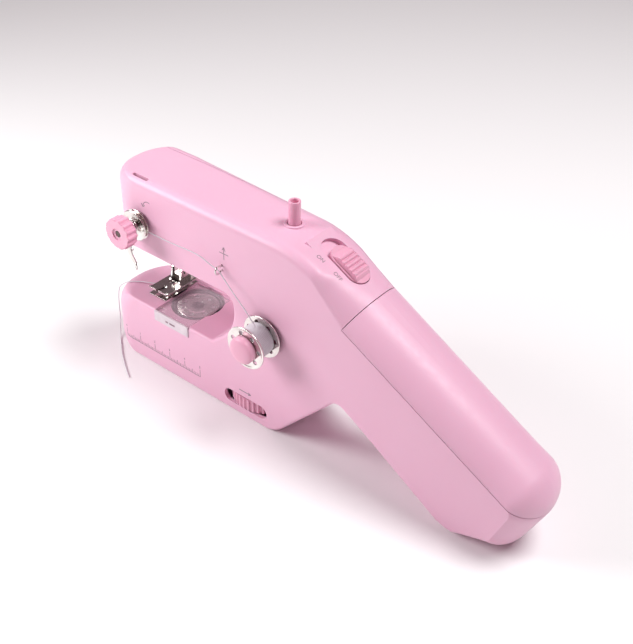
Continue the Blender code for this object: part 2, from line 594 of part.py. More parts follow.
def make_train(steel, white, pink):
    """Hook gear train in the base, the upright shaft, its hand wheel and the motor."""
    hook_gear_phase = 0.0
    gear("hook_gear", (0, 0, GEAR_Z), 'Z', HOOK_TEETH, GEAR_THICK, SHAFT_R + GAP, white, hook_gear_phase)
    idler_phase = math.pi + math.pi / IDLER_TEETH
    gear("idler_gear", (IDLER_X, 0, GEAR_Z), 'Z', IDLER_TEETH, GEAR_THICK, SHAFT_R + GAP, white, idler_phase)

    towards = math.atan2(SHAFT_Y, SHAFT_X - IDLER_X)
    offset = ((towards - idler_phase) * IDLER_TEETH / math.tau) % 1
    drive_phase = towards + math.pi + (0.5 + offset) * math.tau / DRIVE_TEETH
    gear("hook_drive_gear", (SHAFT_X, SHAFT_Y, GEAR_Z), 'Z', DRIVE_TEETH, GEAR_THICK, SHAFT_R + GAP, white,
         drive_phase)
    gear("reduction_gear", (SHAFT_X, SHAFT_Y, REDUCTION_Z), 'Z', REDUCTION_TEETH, GEAR_THICK, SHAFT_R + GAP, white)
    towards = math.atan2(MOTOR_Y - SHAFT_Y, MOTOR_X - SHAFT_X)
    offset = (towards * REDUCTION_TEETH / math.tau) % 1
    pinion_phase = towards + math.pi + (0.5 + offset) * math.tau / PINION_TEETH
    gear("motor_pinion", (MOTOR_X, MOTOR_Y, REDUCTION_Z - 0.5 * MM), 'Z', PINION_TEETH, GEAR_THICK + MM,
         1 * MM + GAP, steel, pinion_phase)

    bevel_r = BEVEL_TEETH * BEVEL_MODULE / 2
    bevel_z = ARM_SHAFT_Z - bevel_r - MM
    rod("main_shaft", (SHAFT_X, SHAFT_Y, WALL + GAP), Z, bevel_z + 1.6 * MM - WALL, SHAFT_R, steel, 24, 0.3 * MM)
    gear("shaft_bevel", (SHAFT_X, SHAFT_Y, bevel_z), 'Z', BEVEL_TEETH, 2.2 * MM, SHAFT_R + GAP, white, 0,
         BEVEL_MODULE, 0.62)
    gear("arm_bevel", (SHAFT_X - bevel_r - MM, SHAFT_Y, ARM_SHAFT_Z), 'X', BEVEL_TEETH, 2.2 * MM, SHAFT_R + GAP,
         white, 0, BEVEL_MODULE, 0.62)

    wheel_r = HALF + SHAFT_Y + WHEEL_PROUD
    wheel = ribbed_wheel("hand_wheel", wheel_r, WHEEL_THICK, 40, 0.5 * MM, pink, 0)
    wheel.location = (SHAFT_X, SHAFT_Y, WHEEL_Z - WHEEL_THICK / 2)
    cut(wheel, rod("wheel_bore", (SHAFT_X, SHAFT_Y, 0), Z, 20 * MM, SHAFT_R + GAP))


def ribbed_wheel(name, radius, thick, ribs, rib_deep, material, bevel):
    outline = []
    for i in range(ribs):
        for r, share in ((radius, -0.25), (radius, 0.2), (radius - rib_deep, 0.32), (radius - rib_deep, 0.63)):
            angle = (i + share) * math.tau / ribs
            outline.append((r * math.cos(angle), r * math.sin(angle)))
    return prism(name, outline, 0, thick, 'Z', material, bevel)


def make_motor(steel):
    radius = 11.5 * MM
    motor = rod("motor", (MOTOR_X, MOTOR_Y, 39 * MM), Z, 30 * MM, radius, steel, 28, 0.8 * MM)
    join(motor, rod("motor_nose", (MOTOR_X, MOTOR_Y, 68 * MM), Z, 2.4 * MM, 4 * MM, None, 20))
    join(motor, rod("motor_axle", (MOTOR_X, MOTOR_Y, 69 * MM), Z, 7.5 * MM, 1 * MM, None, 12))


def make_arm(steel, white, brass):
    """Arm shaft, crank, needle bar and take-up lever."""
    bevel_back = SHAFT_X - BEVEL_TEETH * BEVEL_MODULE / 2 - MM
    rod("arm_shaft", (CRANK_X - 1.5 * MM, SHAFT_Y, ARM_SHAFT_Z), X, bevel_back + 1.6 * MM - CRANK_X + 1.5 * MM,
        SHAFT_R, steel, 24, 0.3 * MM)
    crank = rod("crank_disc", (CRANK_X - 2.4 * MM, SHAFT_Y, ARM_SHAFT_Z), X, 2.4 * MM, STROKE / 2 + 1.8 * MM,
                white, 28)
    cut(crank, rod("crank_bore", (CRANK_X - 1.7 * MM, SHAFT_Y, ARM_SHAFT_Z), X, 8 * MM, SHAFT_R + GAP))
    crank_pin_end = NEEDLE_X + 1.9 * MM + GAP
    join(crank, rod("crank_pin", (crank_pin_end, SHAFT_Y, ARM_SHAFT_Z + STROKE / 2), X,
                    CRANK_X - MM - crank_pin_end, 1.1 * MM, None, 16))
    bearing = block("arm_bearing", (16 * MM, SHAFT_Y - 4.5 * MM, ARM_UNDER + WALL + GAP),
                    (21 * MM, SHAFT_Y + 4.5 * MM, ARM_SHAFT_Z + 5 * MM), brass, 0.6 * MM)
    cut(bearing, rod("bearing_bore", (10 * MM, SHAFT_Y, ARM_SHAFT_Z), X, 20 * MM, SHAFT_R + GAP))

    bar_low = ARM_UNDER - 4.4 * MM
    clamp_low = bar_low - 2.4 * MM
    bar_high = ARM_TOP - WALL - 1.5 * MM
    bar = rod("needle_bar", (NEEDLE_X, 0, bar_low), Z, bar_high - bar_low, 1.6 * MM, steel, 20, 0.3 * MM)
    yoke_z = ARM_SHAFT_Z + STROKE / 2
    reach = STROKE / 2 + 2.1 * MM
    yoke = block("yoke", (NEEDLE_X - 1.9 * MM, SHAFT_Y - reach, yoke_z - 3 * MM),
                 (NEEDLE_X + 1.9 * MM, SHAFT_Y + reach, yoke_z + 3 * MM), None, 0.5 * MM)
    join(bar, yoke)
    cut(bar, block("yoke_slot", (NEEDLE_X + 0.9 * MM, SHAFT_Y - reach + 0.8 * MM, yoke_z - 1.4 * MM),
                   (NEEDLE_X + 4 * MM, SHAFT_Y + reach - 0.8 * MM, yoke_z + 1.4 * MM)))
    clamp = rod("needle_clamp", (NEEDLE_X, 0, clamp_low), Z, 5.5 * MM, 3 * MM, steel, 16, 0.4 * MM)
    join(clamp, rod("clamp_screw", (NEEDLE_X + 2.2 * MM, 0, clamp_low + 2.4 * MM), X, 4.4 * MM, 1.3 * MM, None, 14))
    cut(clamp, rod("clamp_bar_bore", (NEEDLE_X, 0, bar_low - GAP), Z, 6 * MM, 1.6 * MM + GAP))
    cut(clamp, rod("clamp_needle_bore", (NEEDLE_X, 0, clamp_low - 2 * MM), Z, 3.7 * MM, 0.8 * MM + GAP))
    needle_tip = BED_TOP + 12 * MM
    needle_top = bar_low - MM
    profile = [(0.02 * MM, needle_tip), (0.4 * MM, needle_tip + 3 * MM), (0.4 * MM, needle_top - 7 * MM),
               (0.8 * MM, needle_top - 6 * MM), (0.8 * MM, needle_top), (0.02 * MM, needle_top)]
    turned("needle", profile, (NEEDLE_X, 0, 0), Z, steel, 12)

    lever_y = -HALF + WALL + 1.2 * MM
    pivot = (12 * MM, ARM_TOP - 8 * MM)
    tip_x = NEEDLE_X + 0.4 * MM
    body = (arc(*pivot, 2.6 * MM, -90, 90, 8)
            + [(tip_x + 3 * MM, pivot[1] + 1.6 * MM), (tip_x + 1.4 * MM, ARM_TOP - 1.4 * MM),
               (tip_x - 1.2 * MM, ARM_TOP - 1.4 * MM), (tip_x - 1.6 * MM, pivot[1] - 1.2 * MM)])
    lever = prism("take_up_lever", body, lever_y - 0.5 * MM, lever_y + 0.5 * MM, 'Y', steel)
    cut(lever, rod("lever_bore", (pivot[0], lever_y - 3 * MM, pivot[1]), Y, 8 * MM, 1.2 * MM + GAP))
    cut(lever, rod("lever_eye", (tip_x, lever_y - 3 * MM, ARM_TOP - 3 * MM), Y, 8 * MM, 0.6 * MM, None, 12))
    return pivot


def cut_arm(main, back, lever_pivot):
    """Holes in the arm for the needle bar, presser bar, take-up lever and lifter."""
    for name, y, r in (("needle_bar_hole", 0, 1.6 * MM), ("presser_bar_hole", PRESSER_Y, PRESSER_R)):
        cut(main, rod(name, (NEEDLE_X, y, ARM_UNDER - 2 * MM), Z, 8 * MM, r + GAP))
    lever_y = -HALF + WALL + 1.2 * MM
    cut(main, prism("take_up_slot", stadium(NEEDLE_X + 0.6 * MM, lever_y, 9.6 * MM, 1.7 * MM, 4),
                    ARM_TOP - 5 * MM, ARM_TOP + 5 * MM, 'Z'))
    join(main, rod("take_up_stud", (lever_pivot[0], -HALF + WALL / 2, lever_pivot[1]), Y, 3.6 * MM, 1.2 * MM,
                   None, 16))
    cut(back, rod("lifter_hole", (NEEDLE_X + 9 * MM, 0, ARM_UNDER + 12 * MM), Y, 30 * MM, 2.4 * MM + GAP))
    seat = SPRING_LOW + SPRING_LONG + 1.2 * MM
    join(back, block("spring_seat", (NEEDLE_X - 4 * MM, PRESSER_Y - 1.1 * MM, seat),
                     (NEEDLE_X + 4 * MM, HALF - WALL / 2, seat + 1.8 * MM)))
    cut(back, rod("spring_seat_bore", (NEEDLE_X, PRESSER_Y, seat - MM), Z, 5 * MM, PRESSER_R + GAP))


# ---- presser foot ------------------------------------------------------------------------------
FOOT = (NEEDLE_X - 5.7 * MM, -10.5 * MM, NEEDLE_X + 6 * MM, 12 * MM)   # x, y, x, y
FOOT_Z, FOOT_THICK = BED_TOP + 2.7 * MM, 1.1 * MM
FOOT_PIN_Y, FOOT_PIN_Z = 5.6 * MM, BED_TOP + 8.6 * MM
PRESSER_R = 1.5 * MM
COLLAR_Z = ARM_UNDER + WALL + 3 * MM
SPRING_LOW, SPRING_LONG = COLLAR_Z + 3.2 * MM, 16 * MM


def make_presser(steel, pink):
    toe = (FOOT_Z, FOOT_THICK)
    outline = [(FOOT[1], toe[0] + 1.0 * MM), (FOOT[1] + 2.6 * MM, toe[0]), (FOOT[3] - 1 * MM, toe[0]),
               (FOOT[3], toe[0] + 0.4 * MM), (FOOT[3], toe[0] + toe[1]), (FOOT[1] + 2.8 * MM, toe[0] + toe[1]),
               (FOOT[1], toe[0] + toe[1] + 0.9 * MM)]
    foot = prism("presser_foot", outline, FOOT[0], FOOT[2], 'X', steel)
    cut(foot, prism("foot_needle_slot", stadium(NEEDLE_X, 0, 5 * MM, 2.2 * MM), FOOT_Z - 2 * MM,
                    FOOT_Z + 4 * MM, 'Z'))
    cut(foot, block("foot_toe_gap", (NEEDLE_X - 0.8 * MM, FOOT[1] - MM, FOOT_Z - 2 * MM),
                    (NEEDLE_X + 0.8 * MM, -4.5 * MM, FOOT_Z + 4 * MM)))
    lug_low = FOOT_Z + FOOT_THICK / 2
    for i, x in enumerate((NEEDLE_X - 3.4 * MM, NEEDLE_X + 2.4 * MM)):
        lug = (arc(FOOT_PIN_Y, FOOT_PIN_Z, 2.9 * MM, 0, 180, 10)
               + [(FOOT_PIN_Y - 2.9 * MM, lug_low), (FOOT_PIN_Y + 2.9 * MM, lug_low)])
        join(foot, prism(f"foot_lug_{i}", lug, x, x + MM, 'X'))
    cut(foot, rod("foot_pin_hole", (NEEDLE_X - 8 * MM, FOOT_PIN_Y, FOOT_PIN_Z), X, 16 * MM, 0.9 * MM + GAP, None, 16))
    pin = rod("foot_pin", (NEEDLE_X - 4.2 * MM, FOOT_PIN_Y, FOOT_PIN_Z), X, 8.4 * MM, 0.9 * MM, steel, 16)
    join(pin, rod("foot_pin_head", (NEEDLE_X - 4.4 * MM, FOOT_PIN_Y, FOOT_PIN_Z), X, 0.6 * MM, 1.7 * MM, None, 16))

    holder = block("foot_holder", (NEEDLE_X - 2.0 * MM, 3.2 * MM, FOOT_PIN_Z - 2.2 * MM),
                   (NEEDLE_X + 2.0 * MM, PRESSER_Y + 2.8 * MM, FOOT_PIN_Z + 9 * MM), steel, 0.5 * MM)
    cut(holder, rod("holder_pin_hole", (NEEDLE_X - 8 * MM, FOOT_PIN_Y, FOOT_PIN_Z), X, 16 * MM, 0.9 * MM + GAP,
                    None, 16))
    bar_low = FOOT_PIN_Z + 4 * MM
    cut(holder, rod("holder_bar_bore", (NEEDLE_X, PRESSER_Y, bar_low - GAP), Z, 20 * MM, PRESSER_R + GAP))
    bar = rod("presser_bar", (NEEDLE_X, PRESSER_Y, bar_low), Z, ARM_TOP - WALL - 7 * MM - bar_low, PRESSER_R, steel, 20)
    join(bar, rod("presser_collar", (NEEDLE_X, PRESSER_Y, COLLAR_Z), Z, 2.4 * MM, 2.4 * MM, None, 20))
    tube("presser_spring", coil_points((NEEDLE_X, PRESSER_Y, SPRING_LOW), Z, (2.1 * MM, 2.1 * MM),
                                       SPRING_LONG, 5, 10), 0.25 * MM, steel)

    axle = (NEEDLE_X + 9 * MM, ARM_UNDER + 12 * MM)
    lifter = rod("presser_lifter", (axle[0], 11.9 * MM, axle[1]), Y, HALF + 1.6 * MM - 11.9 * MM, 2.4 * MM, pink, 20)
    join(lifter, rod("lifter_cam", (axle[0] - 0.8 * MM, 10.4 * MM, axle[1]), Y, 1.8 * MM, 3.9 * MM, None, 24))
    handle = [(axle[0] + u * MM, axle[1] + v * MM)
              for u, v in ((-3.5, 3), (3, 3.5), (17, -3), (18.5, -5.5), (17, -8), (13, -7.5), (2, -3.2), (-3, -2.6))]
    join(lifter, prism("lifter_handle", handle, HALF + 0.6 * MM, HALF + 3 * MM, 'Y', None, 0.5 * MM))


# ---- thread path on the front face ----------------------------------------------------------
def make_tension(steel, pink, dark):
    """Tension post, discs, springs, knob and the thread guides around them."""
    def at(y):
        return (TENSION_X, -HALF - y, TENSION_Z)
    post = rod("tension_post", at(-WALL - 1.6 * MM), -Y, 16.6 * MM, 1.4 * MM, dark, 20)
    join(post, rod("post_flange", at(-WALL - GAP), Y, 1.4 * MM, 3.6 * MM, None, 20))
    bore = 1.4 * MM + GAP
    disc = [(bore, 0), (bore, 0.5 * MM), (4.6 * MM, 0.5 * MM), (7.2 * MM, 0.95 * MM), (7.5 * MM, 0.6 * MM),
            (4.7 * MM, 0)]
    turned("rear_tension_disc", [(r, -h) for r, h in disc], at(2.4 * MM), -Y, steel)
    turned("front_tension_disc", disc, at(2.55 * MM), -Y, steel)
    ring = [(TENSION_X + 2.2 * MM * math.cos(t), -HALF - 3.9 * MM, TENSION_Z + 2.2 * MM * math.sin(t))
            for t in [math.radians(a) for a in range(-20, 250, 15)]]
    leg = [(-17.6, 74.5), (-18.2, 71), (-19.2, 67.8), (-18.2, 67), (-17.5, 68.4)]
    tube("check_spring", ring + [(x * MM, -HALF - 3.9 * MM, z * MM) for x, z in leg], 0.3 * MM, steel)
    tube("tension_spring", coil_points(at(4.7 * MM), -Y, (4.0 * MM, 2.9 * MM), 2.7 * MM, 3, 10), 0.33 * MM, steel)

    knob = ribbed_wheel("tension_knob", 7.5 * MM, 5.6 * MM, 14, 0.7 * MM, pink, 0.5 * MM)
    knob.matrix_world = Matrix.Translation(at(8 * MM)) @ facing(-Y)
    cut(knob, rod("knob_bore", at(6 * MM), -Y, 12 * MM, 1.4 * MM + GAP))

    guide_y = -HALF - 0.8 * MM
    shape = [(-3.4, 1.6), (-3.6, -1.4), (-7.4, -6), (-9.6, -11.4), (-9.8, -16), (-8.4, -20), (-5.9, -23.2),
             (-4.3, -24.4), (-3.6, -23), (-5.9, -19.4), (-7.2, -15.5), (-6.9, -11.6), (-4.6, -7), (-1.2, -3.7)]
    strip = prism("lower_thread_guide", [(TENSION_X + u * MM, TENSION_Z + v * MM) for u, v in shape],
                  guide_y - 0.3 * MM, guide_y + 0.3 * MM, 'Y', steel)
    hub = rod("guide_hub", (TENSION_X, guide_y - 0.3 * MM, TENSION_Z), Y, 0.6 * MM, 3.8 * MM, None, 24)
    join(strip, hub)
    cut(strip, rod("guide_bore", (TENSION_X, guide_y - 2 * MM, TENSION_Z), Y, 4 * MM, 1.4 * MM + GAP))
    eye = [(TENSION_X - 4.2 * MM + 1.3 * MM * math.cos(t), guide_y - 0.9 * MM * math.cos(t),
            TENSION_Z - 24.6 * MM + 1.9 * MM * math.sin(t)) for t in [math.tau * i / 14 for i in range(14)]]
    join(strip, tube("guide_eye", eye, 0.4 * MM, None, True))


def make_eyelet(steel):
    """Wire loop on the front face that guides the upper thread."""
    foot, centre, r = -HALF + 1.2 * MM, -HALF - EYELET_REACH, EYELET_R
    turns = [math.radians(140 - 280 * i / 10) for i in range(11)]
    loop = [(EYELET_X, centre - r * math.cos(t), EYELET_Z + r * math.sin(t)) for t in turns]
    ends = EYELET_R * math.sin(math.radians(140))
    loop = [(EYELET_X, foot, EYELET_Z + ends)] + loop + [(EYELET_X, foot, EYELET_Z - ends)]
    tube("thread_eyelet", loop, 0.4 * MM, steel)


def make_spindle(pink, dark):
    """Spindle, cap and spring that carry the upper thread's bobbin."""
    def at(y):
        return (SPINDLE_X, -HALF - y, SPINDLE_Z)
    spindle = rod("bobbin_spindle", at(-6.2 * MM), -Y, 20.2 * MM, 2.7 * MM, pink, 24)
    join(spindle, rod("spindle_flange", at(-5.9 * MM), Y, 1.2 * MM, 5 * MM, None, 24))
    cap = turned("bobbin_cap", [(2.7 * MM + GAP, 0), (2.7 * MM + GAP, 1.6 * MM), (0.05 * MM, 1.6 * MM),
                                (0.05 * MM, 4 * MM), (3.6 * MM, 3.9 * MM), (5.5 * MM, 3.2 * MM), (6.3 * MM, 1.8 * MM),
                                (6.3 * MM, 0)], at(12.7 * MM), -Y, pink)
    tube("spindle_spring", coil_points(at(-1.4 * MM), -Y, (6.6 * MM, 7.4 * MM), 2.2 * MM, 2.5, 14), 0.45 * MM, dark)
    return cap


def cut_front(main):
    """Front face: tension post, spindle with its spring recess, eyelet and hand wheel slot."""
    join(main, rod("spindle_boss", (SPINDLE_X, -HALF + WALL - 0.5 * MM, SPINDLE_Z), Y, 3.8 * MM, 10.6 * MM, None, 24))
    cut(main, rod("spring_recess", (SPINDLE_X, -HALF - 5 * MM, SPINDLE_Z), Y, 7.2 * MM, 8.6 * MM, None, 28))
    cut(main, rod("spindle_hole", (SPINDLE_X, -HALF - 5 * MM, SPINDLE_Z), Y, 16 * MM, 2.7 * MM + GAP))
    cut(main, rod("post_hole", (TENSION_X, -HALF - 5 * MM, TENSION_Z), Y, 10 * MM, 1.4 * MM + GAP))
    ends = EYELET_R * math.sin(math.radians(140))
    for side in (-1, 1):
        cut(main, rod(f"eyelet_hole_{side + 1}", (EYELET_X, -HALF - MM, EYELET_Z + side * ends), Y,
                      WALL + 2 * MM, 0.4 * MM + GAP, None, 12))
    cut(main, prism("wheel_slot", stadium(SHAFT_X + 0.4 * MM, WHEEL_Z, 26 * MM, WHEEL_THICK + 1.2 * MM),
                    -HALF - 5 * MM, -HALF + 5 * MM, 'Y'))


# ---- spool pin and switch --------------------------------------------------------------------
PIN_R, PIN_HIGH = 2.75 * MM, 11 * MM


def make_spool_pin(main, pink):
    """Telescopic thread pin in a moulded ring; a flange under the case's top keeps it in."""
    join(main, rod("pin_ring", (PIN_X, PIN_Y, ARM_TOP - WALL / 2), Z, WALL / 2 + 0.6 * MM, PIN_R + 1.7 * MM, None, 28))
    cut(main, rod("pin_hole", (PIN_X, PIN_Y, ARM_TOP - 2 * WALL), Z, 4 * WALL, PIN_R + GAP, None, 28))
    low, ledge, top = ARM_TOP - WALL - 2.8 * MM, ARM_TOP - WALL - 0.9 * MM, ARM_TOP + PIN_HIGH
    profile = [(0.05 * MM, low), (PIN_R + 1.2 * MM, low), (PIN_R + 1.2 * MM, ledge), (PIN_R, ledge),
               (PIN_R - 0.1 * MM, top - 0.3 * MM), (PIN_R - 0.4 * MM, top), (1.8 * MM, top), (1.8 * MM, top - 3 * MM),
               (0.05 * MM, top - 3 * MM)]
    turned("spool_pin", profile, (PIN_X, PIN_Y, 0), Z, pink)


SWITCH_TRAVEL = 5 * MM


def make_switch(main, back, pink, dark):
    """Slide switch: ribbed slider in its pocket, at the lower (off) end, and the switch block under it."""
    floor = 2.9 * MM
    plinth = block("switch_plinth", (-36 * MM, -8 * MM, -floor - WALL), (-4 * MM, 8 * MM, -1.3 * MM))
    join(main, on_handle(plinth))
    cut(main, switch_pocket("switch_pocket", 0, -8 * MM, floor))
    stem_half, stem_s = 1.8 * MM, -19 * MM
    slot = block("stem_slot", (stem_s - 1.8 * MM - SWITCH_TRAVEL - GAP, -stem_half - GAP, -12 * MM),
                 (stem_s + 1.8 * MM + GAP, stem_half + GAP, 4 * MM))
    cut(main, on_handle(slot))
    end, long, half = -7.5 * MM - GAP, 19.5 * MM, 5.9 * MM - GAP
    slider = prism("switch_slider", stadium(end - long / 2, 0, long, 2 * half), -floor + GAP, 0.6 * MM, 'Z', pink)
    on_handle(slider)
    crest = [(-25.4, -0.5), (-24.9, 0.9), (-22.5, 1.8)]
    for i in range(5):
        s = -22 + 2.1 * i
        crest += [(s, 2.5), (s + 1.2, 2.8), (s + 1.5, 2.2), (s + 2.0, 2.2)]
    crest += [(-11.4, 2.3), (-10.1, 0.9), (-9.7, -0.5)]
    crown = prism("slider_crest", [(s * MM, h * MM) for s, h in crest], -4.2 * MM, 4.2 * MM, 'Y')
    join(slider, on_handle(crown))
    stem = block("slider_stem", (stem_s - 1.8 * MM, -stem_half, -6.6 * MM), (stem_s + 1.8 * MM, stem_half, -MM))
    join(slider, on_handle(stem))
    on_handle(block("switch_block", (-30 * MM, -4.5 * MM, -13.5 * MM), (-11 * MM, 4.5 * MM, -6.6 * MM - GAP), dark,
                    0.4 * MM))


# ---- batteries ----------------------------------------------------------------------------------
def make_batteries(white, cell_skin):
    start, top = 25 * MM, BAND + 1 * MM
    pitch = 2 * CELL_R + GAP
    long = CELL_LONG + 7 * MM
    half = pitch + 0.9 * MM
    deep = 2 * pitch + 1.2 * MM
    tray = block("battery_tray", (start, -half, -top - deep), (start + long, half, -top), white)
    hollow = block("tray_hollow", (start + 1.4 * MM, -half + 0.8 * MM, -top - deep + MM),
                   (start + long - 1.4 * MM, half - 0.8 * MM, 0))
    on_handle(tray)
    cut(tray, on_handle(hollow))
    for i in range(4):
        y = (-1 if i % 2 else 1) * pitch / 2
        depth = top + pitch * (0.5 + i // 2)
        cell = rod(f"battery_cell_{i + 1}", (start + 3 * MM, y, -depth), X, CELL_LONG - 1.2 * MM, CELL_R, cell_skin,
                   18, 0.5 * MM)
        join(cell, rod(f"cell_button_{i}", (start + 3 * MM + CELL_LONG - 2 * MM, y, -depth), X, 2 * MM, 2.7 * MM,
                       None, 16))
        on_handle(cell)
        on_handle(bpy.data.objects[f"cell_button_{i}"])


# ---- threads --------------------------------------------------------------------------------------
def make_threads(thread):
    """Upper thread from the front bobbin through the eyelet to the tension discs, and the loose tail."""
    upper = [(59.4, -24.5, 63), (52.5, -23.4, 68), (45, -22.3, 72.7), (38.5, -21.2, 76.8), (34.8, -20.5, 78.9),
             (30, -20.5, 79.9), (25.5, -20.5, 81.3), (21, -20.5, 81.8), (14, -20.5, 81.5), (5, -20.5, 80.9),
             (-3, -20.5, 80.8), (-8.0, -20.48, 80.9)]
    tube("upper_thread", smooth_route([[c * MM for c in p] for p in upper], 5 * MM), THREAD_R, thread, False, 2)
    tail = [(-19.5, -1.5, 36.9), (-24, -3.6, 36.5), (-28.5, -5.6, 36.4), (-33, -7.6, 36), (-37.5, -9.3, 34.8),
            (-41.3, -10.2, 32.4), (-44.6, -10.4, 28.6), (-46.5, -10, 22), (-47, -9.9, 15), (-47, -10, 8),
            (-46.2, -11.4, 2.4), (-43, -14.4, 0.5), (-37.5, -19, 0.4), (-31.4, -23.8, 0.4), (-24, -28.8, 0.4),
            (-16.3, -33.5, 0.4)]
    tube("thread_tail", smooth_route([[c * MM for c in p] for p in tail], 3 * MM), THREAD_R, thread, False, 2)


def main():
    clear_scene()
    pink = make_material("case_pink", (0.86, 0.55, 0.68), 0.45)
    trim = make_material("trim_pink", (0.87, 0.52, 0.66), 0.4)
    steel = make_material("polished_steel", (0.75, 0.73, 0.7), 0.2, 1.0)
    dark = make_material("dark_steel", (0.22, 0.16, 0.15), 0.35, 1.0)
    black = make_material("black_plastic", (0.03, 0.03, 0.03), 0.5)
    brass = make_material("brass", (0.7, 0.55, 0.3), 0.3, 1.0)
    white = make_material("white_gear", (0.85, 0.85, 0.82), 0.5)
    clear = make_material("clear_cover", (0.95, 0.88, 0.92), 0.1)
    cells = make_material("cell_skin", (0.2, 0.22, 0.25), 0.4)
    thread = make_material("white_thread", (0.9, 0.9, 0.9), 0.8)

    main_shell, back, _ = make_case(pink)
    make_screws(steel)
    cut_bed(main_shell)
    make_bed_parts(steel, clear, black)
    make_bobbin("bed_bobbin", "bed_bobbin_thread", (0, 0, BED_TOP - 13.1 * MM), Z, 8.6 * MM, steel, thread)
    make_train(steel, white, trim)
    make_motor(steel)
    lever_pivot = make_arm(steel, white, brass)
    cut_arm(main_shell, back, lever_pivot)
    make_presser(steel, trim)
    cut_front(main_shell)
    make_tension(steel, trim, dark)
    make_eyelet(steel)
    make_spindle(trim, dark)
    make_bobbin("front_bobbin", "front_bobbin_thread", (SPINDLE_X, -HALF - 1.4 * MM, SPINDLE_Z), -Y, 7.6 * MM,
                steel, thread)
    make_spool_pin(main_shell, trim)
    make_switch(main_shell, back, trim, black)
    make_batteries(white, cells)
    make_threads(thread)


main()
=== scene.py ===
"""Looks for the hand-held sewing machine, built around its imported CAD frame. Metres, +Z up."""
import json
import math

import bmesh
import bpy
from mathutils import Matrix, Vector
from mathutils.bvhtree import BVHTree

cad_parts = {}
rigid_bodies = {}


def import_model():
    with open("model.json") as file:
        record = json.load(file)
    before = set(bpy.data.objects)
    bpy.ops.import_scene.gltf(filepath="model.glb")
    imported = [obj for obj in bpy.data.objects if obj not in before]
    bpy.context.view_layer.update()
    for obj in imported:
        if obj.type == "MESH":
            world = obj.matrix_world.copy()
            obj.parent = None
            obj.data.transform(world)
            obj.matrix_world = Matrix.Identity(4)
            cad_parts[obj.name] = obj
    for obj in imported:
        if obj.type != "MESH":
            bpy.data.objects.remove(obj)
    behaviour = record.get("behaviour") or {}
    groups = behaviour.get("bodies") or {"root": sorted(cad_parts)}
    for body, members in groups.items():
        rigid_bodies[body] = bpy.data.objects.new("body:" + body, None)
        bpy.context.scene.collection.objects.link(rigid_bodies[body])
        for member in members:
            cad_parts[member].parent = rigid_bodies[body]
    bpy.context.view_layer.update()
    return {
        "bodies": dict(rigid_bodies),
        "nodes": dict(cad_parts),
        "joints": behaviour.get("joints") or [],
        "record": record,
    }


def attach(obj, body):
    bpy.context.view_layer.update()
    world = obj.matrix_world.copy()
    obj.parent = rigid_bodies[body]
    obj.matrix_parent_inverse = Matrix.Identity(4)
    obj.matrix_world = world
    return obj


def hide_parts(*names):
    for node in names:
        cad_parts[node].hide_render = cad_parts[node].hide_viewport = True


for old in list(bpy.data.objects):
    bpy.data.objects.remove(old, do_unlink=True)
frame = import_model()

MM = 0.001
GAP = 0.3 * MM
X, Y, Z = Vector((1, 0, 0)), Vector((0, 1, 0)), Vector((0, 0, 1))

# ---- driving dimensions of the case -------------------------------------------------
BODY_DEPTH = 36 * MM
WALL = 2 * MM
BED_LEFT = -46 * MM
ARM_LEFT = -37 * MM
BED_TOP = 35 * MM
ARM_UNDER = 66 * MM
ARM_TOP = 103.5 * MM
COLUMN_AHEAD = 5.58 * MM       # from the throat's end to the upright shaft's axis
BASE_RIGHT = 63.5 * MM
SHOULDER_X = 74.9 * MM
HANDLE_SLOPE = math.radians(29.2)
HANDLE_LENGTH = 141.6 * MM     # along its top, from the shoulder to the tip
SEAM_FROM_SHOULDER = 34.2 * MM  # along the top, to where the battery cover starts
HEEL_LENGTH = 29 * MM
HEEL_BEFORE_TIP = 15.5 * MM
NOTCH = (98.5 * MM, 38.5 * MM)  # inner corner between base and handle
BAND = 10.8 * MM               # depth of the battery cover below the handle's top
BACK_LIP = 5.5 * MM            # depth of the back cover
END_ROUND = 16.5 * MM          # plan radius of the free ends of arm and bed
END_REACH = 30 * MM             # along X, over which that rounding fades out

# ---- driving dimensions of the mechanism ----------------------------------------------
GEAR_MODULE = 0.8 * MM
HOOK_TEETH, IDLER_TEETH, DRIVE_TEETH = 15, 35, 30
SHAFT_Y = -2.5 * MM
WHEEL_Z, WHEEL_THICK, WHEEL_PROUD = 8.4 * MM, 6 * MM, 0.8 * MM
NEEDLE_X = -16.8 * MM
PRESSER_Y = 10.3 * MM
BOBBIN_R, BOBBIN_HIGH = 10.2 * MM, 11.2 * MM
COVER_HALF = 11 * MM
TENSION_X, TENSION_Z = -16.1 * MM, 81.2 * MM
SPINDLE_X, SPINDLE_Z = 58.7 * MM, 54.8 * MM
EYELET_X, EYELET_Z = 34.8 * MM, 79 * MM
EYELET_REACH, EYELET_R = 2.4 * MM, 1.9 * MM
PIN_X, PIN_Y = 60.5 * MM, -0.7 * MM
THREAD_R = 0.25 * MM

HALF = BODY_DEPTH / 2
SEAM_Y = HALF - BACK_LIP
HOOK_R = HOOK_TEETH * GEAR_MODULE / 2
IDLER_R = IDLER_TEETH * GEAR_MODULE / 2
DRIVE_R = DRIVE_TEETH * GEAR_MODULE / 2
IDLER_X = HOOK_R + IDLER_R
SHAFT_X = IDLER_X + math.sqrt((IDLER_R + DRIVE_R) ** 2 - SHAFT_Y ** 2)
THROAT_RIGHT = SHAFT_X - COLUMN_AHEAD
HEEL_RIGHT = SHOULDER_X + HANDLE_LENGTH * math.cos(HANDLE_SLOPE) - HEEL_BEFORE_TIP
PLATE = (NEEDLE_X - 6.2 * MM, -9.8 * MM, NEEDLE_X + 4.6 * MM, 12 * MM)


# ---- mesh helpers ---------------------------------------------------------------------------
def facing(axis):
    """Rotation that turns +Z to the axis."""
    return axis.to_track_quat('Z', 'Y').to_matrix().to_4x4()


